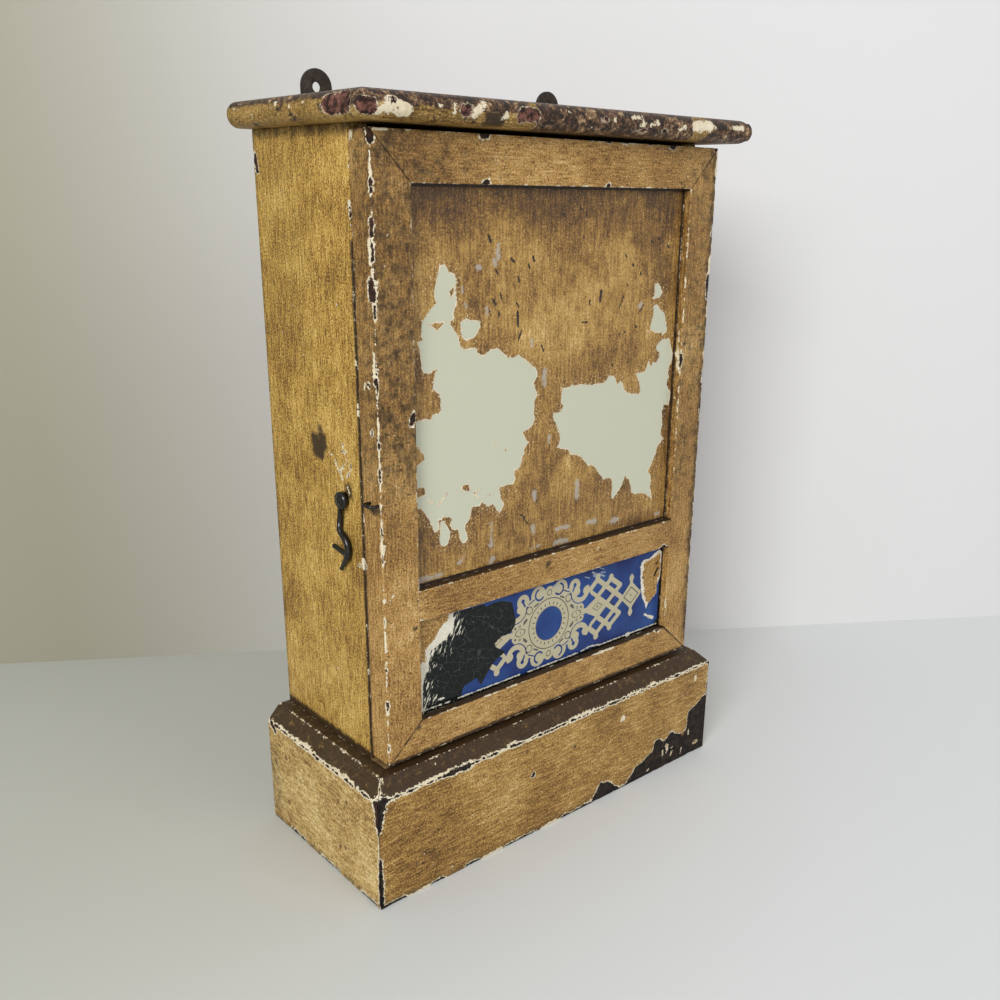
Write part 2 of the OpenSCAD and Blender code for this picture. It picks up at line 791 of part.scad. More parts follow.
hinge_leaf(hinge_lower_z, true);  // hinge_lower_door_leaf
hinge_pins();
hinge_screws(false);  // hinge_screws_frame
hinge_screws(true);  // hinge_screws_door
hook();
hook_screw();
staple();
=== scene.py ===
import math

import bmesh
import bpy
import numpy as np
from mathutils import Matrix, Vector, noise


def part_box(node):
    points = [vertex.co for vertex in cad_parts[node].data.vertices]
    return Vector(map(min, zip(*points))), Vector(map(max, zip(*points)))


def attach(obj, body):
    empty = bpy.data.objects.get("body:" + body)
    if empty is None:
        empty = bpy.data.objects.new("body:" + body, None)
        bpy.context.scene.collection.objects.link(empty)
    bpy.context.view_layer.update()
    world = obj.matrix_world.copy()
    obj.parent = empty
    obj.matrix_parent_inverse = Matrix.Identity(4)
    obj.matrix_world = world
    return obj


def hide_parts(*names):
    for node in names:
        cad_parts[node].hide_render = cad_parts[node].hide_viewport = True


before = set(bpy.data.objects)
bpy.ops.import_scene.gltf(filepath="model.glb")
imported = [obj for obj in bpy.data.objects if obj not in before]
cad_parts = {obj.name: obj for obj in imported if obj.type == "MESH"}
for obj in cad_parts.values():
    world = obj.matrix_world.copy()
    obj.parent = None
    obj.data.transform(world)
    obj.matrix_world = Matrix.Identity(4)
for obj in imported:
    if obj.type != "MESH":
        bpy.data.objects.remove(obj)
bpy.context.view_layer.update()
scene = bpy.context.scene

# Camera
# The cabinet is seen from its front left, with the eye just under the top board. The lens and the
# small shift put the cabinet's corners where the photograph has them.
to_right = Vector((0.752278, -0.658705, 0.01364))
downwards = Vector((-0.200993, -0.249163, -0.947375))
forwards = Vector((0.627439, 0.709948, -0.319835))
eye = Vector((-0.485428, -0.572049, 0.467369))
lens = bpy.data.cameras.new("camera")
lens.sensor_fit = "HORIZONTAL"
lens.sensor_width = 36
lens.lens = 36.665
lens.shift_x = -0.0249
lens.shift_y = 0.0388
camera = bpy.data.objects.new("camera", lens)
turn = Matrix((to_right, -downwards, -forwards)).transposed()
camera.matrix_world = Matrix.Translation(eye) @ turn.to_4x4()
scene.collection.objects.link(camera)
scene.camera = camera

# Table, wall and light
# The cabinet stands on a pale table a hand's breadth in front of a pale wall. Daylight comes in
# from a window at the front left, and the white room fills the shadows.
scene.view_settings.view_transform = "Standard"
SMOOTH = {"interpolation_type": "SMOOTHSTEP"}
COLOURS = {"data_type": "RGBA"}


def linear(colour):
    """An sRGB hex colour as linear red, green, blue and a one"""
    parts = [int(colour[i:i + 2], 16) / 255 for i in (1, 3, 5)]
    return [p / 12.92 if p <= 0.04045 else ((p + 0.055) / 1.055) ** 2.4 for p in parts] + [1]


def add(tree, kind, inputs=(), output=0, stops=(), **settings):
    """Adds a node with its settings, inputs and colour stops, and returns one of its outputs

    An input is a value or a link, and a stop is a place from 0 to 1 with an sRGB hex colour."""
    node = tree.nodes.new("ShaderNode" + kind)
    for name, value in settings.items():
        setattr(node, name, value)
    for name, value in dict(inputs).items():
        if isinstance(value, bpy.types.NodeSocket):
            tree.links.new(value, node.inputs[name])
        else:
            node.inputs[name].default_value = value
    if stops:
        band = node.color_ramp.elements
        while len(band) < len(stops):
            band.new(0.5)
        for element, (place, colour) in zip(band, stops):
            element.position = place
            element.color = linear(colour)
    return node.outputs[output] if node.outputs else None


def new_material(name):
    """A material of that name, its emptied node tree, and the place on the piece in metres"""
    material = bpy.data.materials.new(name)
    material.use_nodes = True
    tree = material.node_tree
    tree.nodes.clear()
    return material, tree, add(tree, "TexCoord", output="Object")


def flat_sheet(name, corners, colour, shade, along):
    """A plain matt sheet for the table or the wall, painted darker to its left as painted shade, and clear
    from behind
    """
    bm = bmesh.new()
    bm.faces.new([bm.verts.new(c) for c in corners])
    mesh = bpy.data.meshes.new(name)
    bm.to_mesh(mesh)
    sheet = bpy.data.objects.new(name, mesh)
    scene.collection.objects.link(sheet)
    material, tree, place = new_material(name)
    share = add(tree, "VectorMath", {0: place, 1: along}, 1, operation="DOT_PRODUCT")
    share = add(tree, "MapRange", {0: share, 1: -0.5, 2: 0.5}, **SMOOTH)
    tone = add(tree, "Mix", {0: share, 6: linear(shade), 7: linear(colour)}, 2, **COLOURS)
    paint = add(tree, "BsdfPrincipled", {"Base Color": tone, "Roughness": 0.7, "Specular IOR Level": 0.2})
    clear = add(tree, "BsdfTransparent")
    behind = add(tree, "NewGeometry", output="Backfacing")
    add(tree, "OutputMaterial", {"Surface": add(tree, "MixShader", {0: behind, 1: paint, 2: clear})})
    mesh.materials.append(material)


# The table and the wall carry a painted shade: their colour darkens towards the left
flat_sheet("table", [(-4, -4, 0), (4, -4, 0), (4, 4, 0), (-4, 4, 0)], "#e0e2e0", "#c1c2b8", (0.7, -1.5, 0))
wall_left = Vector((-3.0, 2.268, 0))
wall_right = Vector((3.0, -1.597, 0))
tall = Vector((0, 0, 4))
flat_sheet("wall", [wall_left, wall_right, wall_right + tall, wall_left + tall], "#dedddb", "#a09d8a",
           (2.3, 0, 0.15))

# Eye, glass and gloss see a pale room of full strength, and only its softer fill lights the cabinet
world = bpy.data.worlds.new("room")
world.use_nodes = True
room = world.node_tree
room.nodes.clear()
seen = add(room, "LightPath", output="Is Camera Ray")
for ray in ("Is Transmission Ray", "Is Glossy Ray"):
    seen = add(room, "Math", {0: seen, 1: add(room, "LightPath", output=ray)}, operation="MAXIMUM")
backdrop = add(room, "Background", {"Color": linear("#e2e1dc"), "Strength": 1.0})
fill = add(room, "Background", {"Color": linear("#f4f6ff"), "Strength": 0.58})
add(room, "OutputWorld", {"Surface": add(room, "MixShader", {0: seen, 1: fill, 2: backdrop})})
scene.world = world


def window(name, place, size, power):
    """A soft lamp as wide as a window, at a place in metres and turned to the cabinet"""
    lamp = bpy.data.lights.new(name, "AREA")
    lamp.shape = "SQUARE"
    lamp.size = size
    lamp.energy = power
    lit = bpy.data.objects.new(name, lamp)
    lit.location = place
    cabinet_low = Vector((0, 0, 0.2))
    lit.rotation_euler = (cabinet_low - Vector(place)).to_track_quat("-Z", "Y").to_euler()
    scene.collection.objects.link(lit)


window("window", (-2.2, -1.3, 1.5), 1.1, 52)
window("front_window", (0.6, -2.6, 1.8), 1.2, 11)

# Side boards
# Two softwood boards stand from the floor to the top board and carry everything else. They have
# been painted ochre by brush, up and down the board, over cream and over an older dark coat.
TO_MM = (1000, 1000, 1000)
TIMES_PLUS = {"operation": "MULTIPLY_ADD"}


def on_face(axis, at, point):
    """The place in mm of a flat point on a face that is square to an axis"""
    place = list(point)
    place.insert(axis, at)
    return place


def marks(axis, at, rows):
    """Lines with a radius in mm on such a face: each row has two flat points and a radius"""
    return [(on_face(axis, at, (a, b)), on_face(axis, at, (c, d)), radius) for a, b, c, d, radius in rows]


def stains(axis, low, high, rows):
    """Boxes of dirt and painted shade through such a face: each row has two flat corners, a reach and an
    amount
    """
    return [(on_face(axis, low, (a, b)), on_face(axis, high, (c, d)), reach, amount)
            for a, b, c, d, reach, amount in rows]


def carried(section, axis, start, end):
    """A solid in mm: a section, given on the other two axes, carried along an axis"""
    bm = bmesh.new()
    face = bm.faces.new([bm.verts.new(on_face(axis, start, point)) for point in section])
    run = on_face(axis, end - start, (0, 0))
    raised = bmesh.ops.extrude_face_region(bm, geom=[face])["geom"]
    bmesh.ops.translate(bm, verts=[g for g in raised if isinstance(g, bmesh.types.BMVert)], vec=run)
    bmesh.ops.holes_fill(bm, edges=[e for e in bm.edges if e.is_boundary], sides=0)
    bmesh.ops.recalc_face_normals(bm, faces=bm.faces[:])
    return bm


def grid_up(bm, axis, step):
    """Cuts the long faces of a carried section into a grid of about that step"""

    def lengthwise(edge):
        """Whether an edge runs along the axis"""
        return abs((edge.verts[1].co - edge.verts[0].co)[axis]) > 0.999 * edge.calc_length()

    strips = []
    for face in bm.faces:
        cross = [e for e in face.edges if not lengthwise(e)]
        if len(face.edges) == 4 and len(cross) == 2:
            cuts = round(min(e.calc_length() for e in cross) / step) - 1
            if cuts > 0:
                strips.append((cross, cuts))
    for cross, cuts in strips:
        bmesh.ops.subdivide_edges(bm, edges=cross, cuts=cuts)
    runs = [e for e in bm.edges if lengthwise(e)]
    cuts = round(max(e.calc_length() for e in runs) / step) - 1
    bmesh.ops.subdivide_edges(bm, edges=runs, cuts=cuts)


def gap_to_line(places, p, q):
    """How far each place is from the straight line between p and q"""
    p, q = np.array(p, float), np.array(q, float)
    run = q - p
    share = np.clip((places - p) @ run / max(run @ run, 1e-9), 0, 1)
    return np.linalg.norm(places - p - share[:, None] * run, axis=1)


def gap_to_lines(places, lines):
    """How far each place is outside the nearest of some lines with a radius"""
    gap = np.full(len(places), 1e9)
    for p, q, radius in lines:
        gap = np.minimum(gap, gap_to_line(places, p, q) - radius)
    return gap


def gap_to_box(places, low, high):
    """How far each place is outside a box, nought inside"""
    out = np.maximum(np.maximum(np.array(low) - places, places - np.array(high)), 0)
    return np.linalg.norm(out, axis=1)


def gap_to_outline(points, outline):
    """How far each flat point is outside a closed outline, less than nought inside"""
    outline = np.array(outline, float)
    inside = np.zeros(len(points), bool)
    gap = np.full(len(points), 1e9)
    for p, q in zip(outline, np.roll(outline, -1, 0)):
        gap = np.minimum(gap, gap_to_line(points, p, q))
        crosses = (p[1] > points[:, 1]) != (q[1] > points[:, 1])
        rise = q[1] - p[1] if q[1] != p[1] else 1.0
        inside ^= crosses & (points[:, 0] < (points[:, 1] - p[1]) / rise * (q[0] - p[0]) + p[0])
    return np.where(inside, -gap, gap)


def finish_piece(name, bm, body, nodes, material):
    """Turns a bmesh in mm into a piece that stands for CAD nodes and rides on their body"""
    bmesh.ops.scale(bm, vec=(0.001, 0.001, 0.001), verts=bm.verts[:])
    mesh = bpy.data.meshes.new(name)
    bm.to_mesh(mesh)
    bm.free()
    mesh.shade_smooth()
    mesh.materials.append(material)
    piece = bpy.data.objects.new(name, mesh)
    scene.collection.objects.link(piece)
    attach(piece, body)
    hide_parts(*nodes)
    return piece


def store(piece, **layers):
    """Keeps one number for each vertex of a piece, under names that its material reads"""
    for name, values in layers.items():
        layer = piece.data.attributes.new(name, "FLOAT", "POINT")
        layer.data.foreach_set("value", np.asarray(values, np.float32))


def painted_piece(name, bm, body, nodes, material, chips=(), flares=(), dirt=(), seams=(),
                  wear=0.0, rounding=0.5, worn=(), outlines=(), islands=()):
    """Finishes a painted board, and keeps how its paint has suffered as distances in mm

    chips are lines with a radius where the wood is bare, flares the same where only the top coat
    is gone, and outlines are flat outlines of bare wood with their axis and place. The boxes for dirt
    and painted shade, and those for worn paint, have a reach and an amount. islands are lines with a
    radius where paint is left on bare wood. seams are planes of a mitre, which is a fine dirty line
    and isn't worn."""
    arris_to_bare, arris_to_pale = 0.9, -0.1
    outline_depth = 2.5
    joint_dirt, joint_half, joint_reach = 0.9, 1.5, 110
    dent_reach, deepest = 1.5, 0.7

    def on_seam(p, q):
        """Whether an arris lies in the plane of a mitre"""
        return any(abs((p - at).dot(square)) + abs((q - at).dot(square)) < 0.02 for at, square in seams)

    sharp = [e for e in bm.edges if len(e.link_faces) == 2 and e.calc_face_angle() > 0.5]
    arrises = [[v.co.copy() for v in edge.verts] for edge in sharp]
    if rounding:
        bmesh.ops.bevel(bm, geom=sharp, offset=rounding, segments=2, profile=0.5, affect="EDGES", material=-1)
    places = np.array([v.co for v in bm.verts])
    arris = np.minimum(99, gap_to_lines(places, [(p, q, 0) for p, q in arrises if not on_seam(p, q)]))
    bare = np.minimum(arris + arris_to_bare - wear, gap_to_lines(places, chips))
    pale = np.minimum(arris + arris_to_pale - wear, gap_to_lines(places, flares))
    for axis, at, outline in outlines:
        gap = gap_to_outline(np.delete(places, axis, 1), outline)
        bare = np.minimum(bare, np.maximum(gap, np.abs(places[:, axis] - at) - outline_depth))
    bare = np.maximum(bare, -gap_to_lines(places, islands))
    dirty, rubbed = np.zeros(len(places)), np.zeros(len(places))
    for shade, boxes in ((dirty, dirt), (rubbed, worn)):
        for low, high, reach, amount in boxes:
            np.maximum(shade, amount * (1 - gap_to_box(places, low, high) / reach), out=shade)
    for at, square in seams:
        apart = places - np.array(at)
        line = joint_dirt * (1 - np.abs(apart @ np.array(square)) / joint_half)
        dirty = np.where(np.linalg.norm(apart, axis=1) < joint_reach, np.maximum(dirty, line), dirty)
    # Bare wood lies the paint's depth lower, and is pocked by dents about 3 and 10 mm across
    for vert, gap in zip(bm.verts, bare):
        if gap < dent_reach:
            dent = 0.35 * noise.noise(vert.co / 3.1) + 0.3 * noise.noise(vert.co / 9.7)
            depth = max(0.0, dent) * (dent_reach - gap) / dent_reach
            vert.co -= vert.normal * min(depth + max(0.0, min(-gap, 1.0)) * 0.3, deepest)
    piece = finish_piece(name, bm, body, nodes, material)
    store(piece, bare=bare, pale=pale, dirt=dirty, worn=rubbed)


def old_paint(name, grain, coat, dirt="#2e2013", under=("#1c120c", "#4a2c1e"), rim=0.8, ragged=1.6,
              loss=0.76, patches=0.0):
    """Old brushed oil paint on wood, satin and a little uneven, over cream and an older dark coat

    grain is the axis of the brush strokes and coat the colours of the top coat. rim is how wide the
    cream shows round a bare place, and ragged how far its edge wanders, both in mm. loss is the
    level over which small flakes are missing, and patches how much of the coat is rubbed off."""
    material, tree, place = new_material(name)
    mm = add(tree, "Mapping", {"Vector": place, "Scale": TO_MM})
    squeeze = list(TO_MM)
    squeeze[grain] = 110  # a stroke is nine times as long as it is wide
    along = add(tree, "Mapping", {"Vector": place, "Scale": squeeze})
    # A noise's grain in mm is one over its scale: clouds 45, mottle 5, strokes 1.4 wide and 13 long,
    # grit 1.2, pits 2.4, crumbs 2, wander 10 and flakes 8
    clouds, mottle, strokes, grit, pits, crumbs, wander, flakes = [
        add(tree, "TexNoise", {"Vector": at, "Scale": scale, "Detail": detail, "Roughness": rough})
        for at, scale, detail, rough in (
            (mm, 0.022, 6, 0.6), (mm, 0.19, 5, 0.65), (along, 0.7, 4, 0.75), (mm, 0.8, 3, 0.75),
            (mm, 0.42, 3, 0.6), (mm, 0.5, 5, 0.72), (mm, 0.1, 3, 0.55), (mm, 0.13, 4, 0.6))]
    bare, pale, dirty = [add(tree, "Attribute", output=2, attribute_name=word)
                         for word in ("bare", "pale", "dirt")]
    # The top coat, with dark pits, and with its dark colour laid on for dirt and for painted shade
    depth = -1.8
    for layer, amount in ((clouds, 0.8), (mottle, 0.55), (strokes, 1.3), (grit, 1.95)):
        depth = add(tree, "Math", {0: layer, 1: amount, 2: depth}, **TIMES_PLUS)
    colour = add(tree, "ValToRGB", {0: depth}, stops=coat)
    pit = add(tree, "MapRange", {0: pits, 1: 0.62, 2: 0.67, 3: 0, 4: 0.85}, **SMOOTH)
    smear = add(tree, "Math", {0: add(tree, "Math", {0: mottle, 1: 1.6, 2: -0.8}, **TIMES_PLUS), 1: dirty})
    smear = add(tree, "MapRange", {0: smear, 1: 0.2, 2: 0.95, 3: 0, 4: 0.95}, **SMOOTH)
    for share, over in ((pit, "#452c14"), (smear, dirt)):
        colour = add(tree, "Mix", {0: share, 6: colour, 7: linear(over)}, 2, **COLOURS)
    # Where it is broken: cream and ochre run from nought in a bare place to one on sound paint
    loose = -ragged - 4.8
    for layer, amount in ((crumbs, 2 * ragged), (wander, 5.0), (mottle, 5.0)):
        loose = add(tree, "Math", {0: layer, 1: amount, 2: loose}, **TIMES_PLUS)
    flaked = add(tree, "Math", {0: flakes, 1: -30, 2: 30 * loss}, **TIMES_PLUS)
    edge = add(tree, "Math", {0: add(tree, "Math", {0: loose, 1: bare}), 1: flaked}, operation="MINIMUM")
    cream = add(tree, "MapRange", {0: edge, 1: -0.1, 2: 0.1}, **SMOOTH)
    width = add(tree, "MapRange", {0: pits, 1: 0.36, 2: 0.62, 3: 0.0, 4: 1.9 * rim})
    outer = add(tree, "Math", {0: edge, 1: width}, operation="SUBTRACT")
    outer = add(tree, "Math", {0: outer, 1: add(tree, "Math", {0: loose, 1: pale})}, operation="MINIMUM")
    ochre = add(tree, "MapRange", {0: outer, 1: -0.12, 2: 0.12}, **SMOOTH)
    lower = add(tree, "MapRange", {0: mottle, 1: 0.4, 2: 0.62}, **SMOOTH)
    lower = add(tree, "Mix", {0: lower, 6: linear(under[0]), 7: linear(under[1])}, 2, **COLOURS)
    ground = add(tree, "Mix", {0: mottle, 6: linear("#b9a274"), 7: linear("#fbf4dc")}, 2, **COLOURS)
    shown = add(tree, "Mix", {0: cream, 6: lower, 7: ground}, 2, **COLOURS)
    if patches:
        worn = add(tree, "Attribute", output=2, attribute_name="worn")
        lost = add(tree, "TexNoise", {"Vector": mm, "Scale": 0.05, "Detail": 6, "Roughness": 0.72})
        lost = add(tree, "Math", {0: worn, 1: -0.3, 2: lost}, **TIMES_PLUS)
        lost = add(tree, "MapRange", {0: lost, 1: patches - 0.012, 2: patches + 0.012})
        rubs = add(tree, "Math", {0: mottle, 1: 1.3, 2: -0.65}, **TIMES_PLUS)
        rubbed = add(tree, "ValToRGB", {0: add(tree, "Math", {0: crumbs, 1: rubs})}, stops=(
            (0.36, "#1b120b"), (0.47, "#3a271a"), (0.55, "#59402c"), (0.64, "#7b5f43"), (0.78, "#bfa27b")))
        colour = add(tree, "Mix", {0: lost, 6: rubbed, 7: colour}, 2, **COLOURS)
    colour = add(tree, "Mix", {0: ochre, 6: shown, 7: colour}, 2, **COLOURS)
    height = add(tree, "Math", {0: cream, 1: ochre})
    for layer, amount in ((strokes, 0.5), (grit, 0.4)):
        height = add(tree, "Math", {0: layer, 1: amount, 2: height}, **TIMES_PLUS)
    bump = add(tree, "Bump", {"Height": height, "Distance": 0.0003, "Strength": 0.8})
    gloss = add(tree, "MapRange", {0: mottle, 1: 0.3, 2: 0.7, 3: 0.38, 4: 0.58})
    dull = add(tree, "Math", {0: cream, 1: -0.35, 2: 0.35}, **TIMES_PLUS)
    surface = add(tree, "BsdfPrincipled", {
        "Base Color": colour, "Roughness": add(tree, "Math", {0: gloss, 1: dull}), "Normal": bump,
        "Specular IOR Level": 0.28})
    add(tree, "OutputMaterial", {"Surface": surface})
    return material


half_width = 152.5
inner_side = 138.5
carcase_front = -37.8
back = 77.0
cupboard_top = 505.0
rebate_wide, rebate_deep = 7, 8
seen_grid, hidden_grid = 1.6, 3.0
OCHRE = ((0.0, "#4a3213"), (0.3, "#7a5825"), (0.5, "#ae883e"), (0.72, "#c9a656"), (1.0, "#e4cd8d"))
side_paint = old_paint("brushed_ochre_on_sides", 2, OCHRE)
scratches = [
    (-17, 315, -25, 309, 0), (-25, 309, -27, 300, 0), (-27, 300, -22, 294, 0), (-12, 308, -20, 311, 0),
    (-20, 311, -22, 304, 0), (-22, 304, -14, 297, 0), (-2, 306, -9, 301, 0), (-9, 301, -16, 291, 0)]
for side, word in ((-1, "left"), (1, "right")):
    section = [(side * x, y) for x, y in (
        (inner_side, carcase_front), (half_width, carcase_front), (half_width, back),
        (inner_side + rebate_wide, back), (inner_side + rebate_wide, back - rebate_deep),
        (inner_side, back - rebate_deep))]
    board = carried(section, 2, 0, cupboard_top)
    grid_up(board, 2, seen_grid if side < 0 else hidden_grid)
    x = side * half_width
    front = carcase_front
    # Painted shade darkens a strip up the front arris beside the door's joint and a band under the top board.
    # The board is also darker at its foot just above the plinth's ledge, towards its upper back and along its
    # back edge
    dirt = stains(0, x - 1, x + 1, [
        (front - 1, 96, front, 440, 2.4, 1.0), (-38, 90, 77, 97, 6, 1.25), (-38, 501, 77, 506, 6, 0.6),
        (30, 380, 80, 500, 60, 0.3), (75, 95, 78, 500, 5, 0.5)])
    chips, flares = [], []
    if side < 0:
        dirt += stains(0, x, x, [
            (10, 304, 15, 308, 8, 1.5), (6, 309, 9, 314, 7, 1.4), (15, 311, 18, 313, 7, 1.2),
            (8, 320, 11, 322, 5, 0.8), (-26, 281, -20, 288, 5, 0.8), (-30, 244, -14, 250, 12, 0.45),
            (74, 190, 74, 190, 4, 0.9), (75, 230, 75, 230, 4, 0.9), (74, 268, 74, 268, 4, 0.9),
            (60, 410, 60, 410, 4, 0.9)])
        chips = marks(0, x, scratches + [(73, 480, 75, 489, 2.0), (front, 455, front, 462, 0.8),
                                         (-34, 237, -30, 236, 0.4), (-24, 283, -22, 287, 0.5)])
        flares = marks(0, x, [
            (front, 236, front, 242, 1.8), (front, 337, front, 343, 1.6), (22, 424, 22, 424, 0.6),
            (35, 397, 35, 397, 0.5), (26, 386, 26, 386, 0.4), (52, 378, 52, 378, 0.5)])
    painted_piece("side_board_" + word, board, "cabinet", ["side_" + word], side_paint,
                  chips=chips, flares=flares, dirt=dirt, wear=-0.45)

# Floor board, back, rail, shelves and cleats
# The unpainted boards inside are of the same softwood, planed and browned by age and handling.
# They are glued and nailed between the side boards, and their grain runs along their length.


def bare_softwood(name, grain, pale, deep):
    """Planed old pine: soft growth lines a few mm apart that bend round small knots, dull and stained"""
    material, tree, place = new_material(name)
    squeeze = list(TO_MM)
    squeeze[grain] = 28  # a growth line is 36 times as long as it is wide
    along = add(tree, "Mapping", {"Vector": place, "Scale": squeeze})
    knots = add(tree, "TexVoronoi", {"Vector": along, "Scale": 0.018, "Randomness": 1.0})
    pull = add(tree, "MapRange", {0: knots, 1: 0.04, 2: 0.4, 3: 14, 4: 0}, **SMOOTH)
    along = add(tree, "VectorMath", {0: along, 1: pull})
    bend = add(tree, "TexNoise", {"Vector": along, "Scale": 0.05, "Detail": 2})
    lines = add(tree, "TexNoise", {
        "Vector": along, "Scale": 0.28, "Detail": 4, "Roughness": 0.62, "Distortion": 0.4})
    pores = add(tree, "TexNoise", {"Vector": along, "Scale": 1.6, "Detail": 2})
    tone = bend
    for layer, amount in ((lines, 1.1), (pores, 0.3)):
        tone = add(tree, "Math", {0: layer, 1: amount, 2: tone}, **TIMES_PLUS)
    tone = add(tree, "MapRange", {0: tone, 1: 0.95, 2: 1.45})
    colour = add(tree, "Mix", {0: tone, 6: linear(deep), 7: linear(pale)}, 2, **COLOURS)
    knot = add(tree, "MapRange", {0: knots, 1: 0.045, 2: 0.075, 3: 0.85, 4: 0}, **SMOOTH)
    mm = add(tree, "Mapping", {"Vector": place, "Scale": TO_MM})
    stain = add(tree, "TexNoise", {"Vector": mm, "Scale": 0.02, "Detail": 4, "Roughness": 0.6})
    stain = add(tree, "MapRange", {0: stain, 1: 0.5, 2: 0.75, 3: 0, 4: 0.5})
    for share, over in ((knot, "#3f2614"), (stain, "#4a3420")):
        colour = add(tree, "Mix", {0: share, 6: colour, 7: linear(over)}, 2, **COLOURS)
    bump = add(tree, "Bump", {"Height": tone, "Distance": 0.0002, "Strength": 0.6})
    surface = add(tree, "BsdfPrincipled", {
        "Base Color": colour, "Roughness": 0.72, "Specular IOR Level": 0.25, "Normal": bump})
    add(tree, "OutputMaterial", {"Surface": surface})
    return material


def dress(material, *names):
    """Gives CAD nodes a material"""
    for name in names:
        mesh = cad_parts[name].data
        mesh.materials.clear()
        mesh.materials.append(material)


pine_wide = bare_softwood("old_pine_across", 0, "#a58557", "#705334")
pine_tall = bare_softwood("old_pine_upright", 2, "#92734c", "#594129")
pine_deep = bare_softwood("old_pine_front_to_back", 1, "#9f7f52", "#6c5033")
dress(pine_wide, "floor_board", "hanging_rail", "shelf_lower", "shelf_upper")
dress(pine_tall, "back_panel", "glue_blocks")
dress(pine_deep, "cleat_lower_left", "cleat_lower_right", "cleat_upper_left", "cleat_upper_right")

# Plinth
# Three boards with a chamfered top edge stand round the foot, mitred at the front corners, glued
# and nailed. Knocks have worn the arrises through the cream, and at the front right to dark wood.


def mitre(bm, point, outwards):
    """Cuts a board off square to a direction at a point, and closes the cut"""
    everything = bm.verts[:] + bm.edges[:] + bm.faces[:]
    cut = bmesh.ops.bisect_plane(bm, geom=everything, plane_co=point, plane_no=outwards, clear_outer=True)
    edges = [g for g in cut["geom_cut"] if isinstance(g, bmesh.types.BMEdge)]
    bmesh.ops.holes_fill(bm, edges=edges, sides=0)
    bmesh.ops.recalc_face_normals(bm, faces=bm.faces[:])


plinth_out = 171.9
plinth_face = -73.9
plinth_inner = -54.5
plinth_top = 95
chamfer_foot = 84
chamfer_in = 10.4
plinth_grid = 2.2
stripped_wood = ("#0d0906", "#33281f")
WARM = ((0.0, "#452e12"), (0.3, "#715024"), (0.5, "#9c763a"), (0.72, "#b8924f"), (1.0, "#dfc78e"))
PALE = ((0.0, "#5a3f1b"), (0.3, "#8f6e38"), (0.5, "#b99958"), (0.72, "#cfb478"), (1.0, "#eadcaf"))
front_ochre = old_paint("brushed_ochre_on_plinth", 0, WARM, "#2f2115", stripped_wood, rim=0.85, ragged=1.9)
end_ochre = old_paint("brushed_ochre_on_plinth_sides", 1, PALE, "#2f2115", rim=1.1, ragged=1.9)
front_section = [(plinth_inner, 0), (plinth_face, 0), (plinth_face, chamfer_foot),
                 (plinth_face + chamfer_in, plinth_top), (plinth_inner, plinth_top)]
board = carried(front_section, 0, -200, 200)
corner_cuts = []
for side in (-1, 1):
    corner_cuts.append((Vector((side * plinth_out, plinth_face, 0)), Vector((side, 1, 0)).normalized()))
    mitre(board, *corner_cuts[-1])
grid_up(board, 0, plinth_grid)
front_stripped = [
    (31, -3), (33, 4), (37, 11), (42, 16.5), (45, 12.5), (49, 13), (53, 10), (58, 6), (64, 2),
    (70, 1), (73, 4), (78, 9), (84, 14), (90, 15), (98, 18), (103, 21), (105, 29), (111, 30),
    (115, 27), (120, 27), (127, 32), (131, 28), (138, 24), (146, 26), (148, 42), (153, 45),
    (159, 48), (166, 52), (171, 51), (176, 50), (176, -3)]
front_wedge = [(-175, 58), (-170.5, 60), (-168.5, 67), (-166, 76), (-162, 88), (-175, 92)]
side_wedge = [(-76, 56), (-72.5, 60), (-71.5, 68), (-69.5, 78), (-67, 88), (-76, 92)]
corner_seam = (-161.5, -63.5, plinth_top)
chips = marks(1, plinth_face, [
    (-plinth_out, chamfer_foot, plinth_out, chamfer_foot, 0.5), (-109, 84, -95, 84, 2.2),
    (-plinth_out, 62, -plinth_out, 72, 2.4), (-plinth_out, 0, -plinth_out, 38, 2.2),
    (-168, 0, -152, 0, 2.4), (-128, 0, -120, 0, 1.9), (-96, 0, -86, 0, 2.4), (-60, 0, -30, 0, 1.8),
    (0, 0, 28, 0, 2.2), (plinth_out, 0, plinth_out, 84, 1.0), (-33, 51.5, -33, 52, 1.3)])
chips += [((-plinth_out, plinth_face, chamfer_foot), corner_seam, 0.6)]
flares = marks(1, plinth_face, [
    (-plinth_out, chamfer_foot, plinth_out, chamfer_foot, 1.6), (-140, 85, -118, 86, 2.2),
    (-60, 86, -44, 87, 2.0), (10, 86, 30, 86, 2.2), (70, 86, 110, 86, 1.9), (-110, 84, -92, 84, 3.0),
    (-148, 0, -130, 0, 2.2), (-84, 0, -64, 0, 2.0), (-24, 0, -4, 0, 1.9), (-166.9, 70, -167.9, 80, 1.2),
    (64, 66, 64.5, 66, 3.0), (154, 72, 154, 75, 1.0), (-116, 7, -110, 6, 0.6)])
# The chamfer and the ledge behind it are dark with dirt, and the board is darker along its foot
dirt = [((-172, plinth_face + 0.4, chamfer_foot + 0.5), (172, -54, 96), 1.6, 0.95),
        ((-153, -62.5, 94), (153, -54, 96), 1.5, 1.3),
        ((-172, -75, 0), (172, plinth_face, 2), 9, 0.55)]
dirt += stains(1, plinth_face, plinth_face, [(x, z, x, z, 3.2, 1.0) for x, z in (
    (-81, 70), (-69, 26), (-154, 24), (-136, 22), (-122, 23), (-40, 74), (10, 60))])
islands = marks(1, plinth_face, [
    (158, 9, 162, 9, 1.5), (122, 12, 122, 20, 1.1), (116, 9, 116, 16, 0.9), (128, 9, 129, 15, 0.9),
    (140, 5, 141, 10, 0.8), (98, 4, 100, 5, 0.9), (150, 20, 150, 24, 0.8)])
painted_piece("plinth_front_board", board, "cabinet", ["plinth_front"], front_ochre,
              chips=chips, flares=flares, dirt=dirt, seams=corner_cuts, wear=-0.4, islands=islands,
              outlines=[(1, plinth_face, front_stripped), (1, plinth_face, front_wedge)])
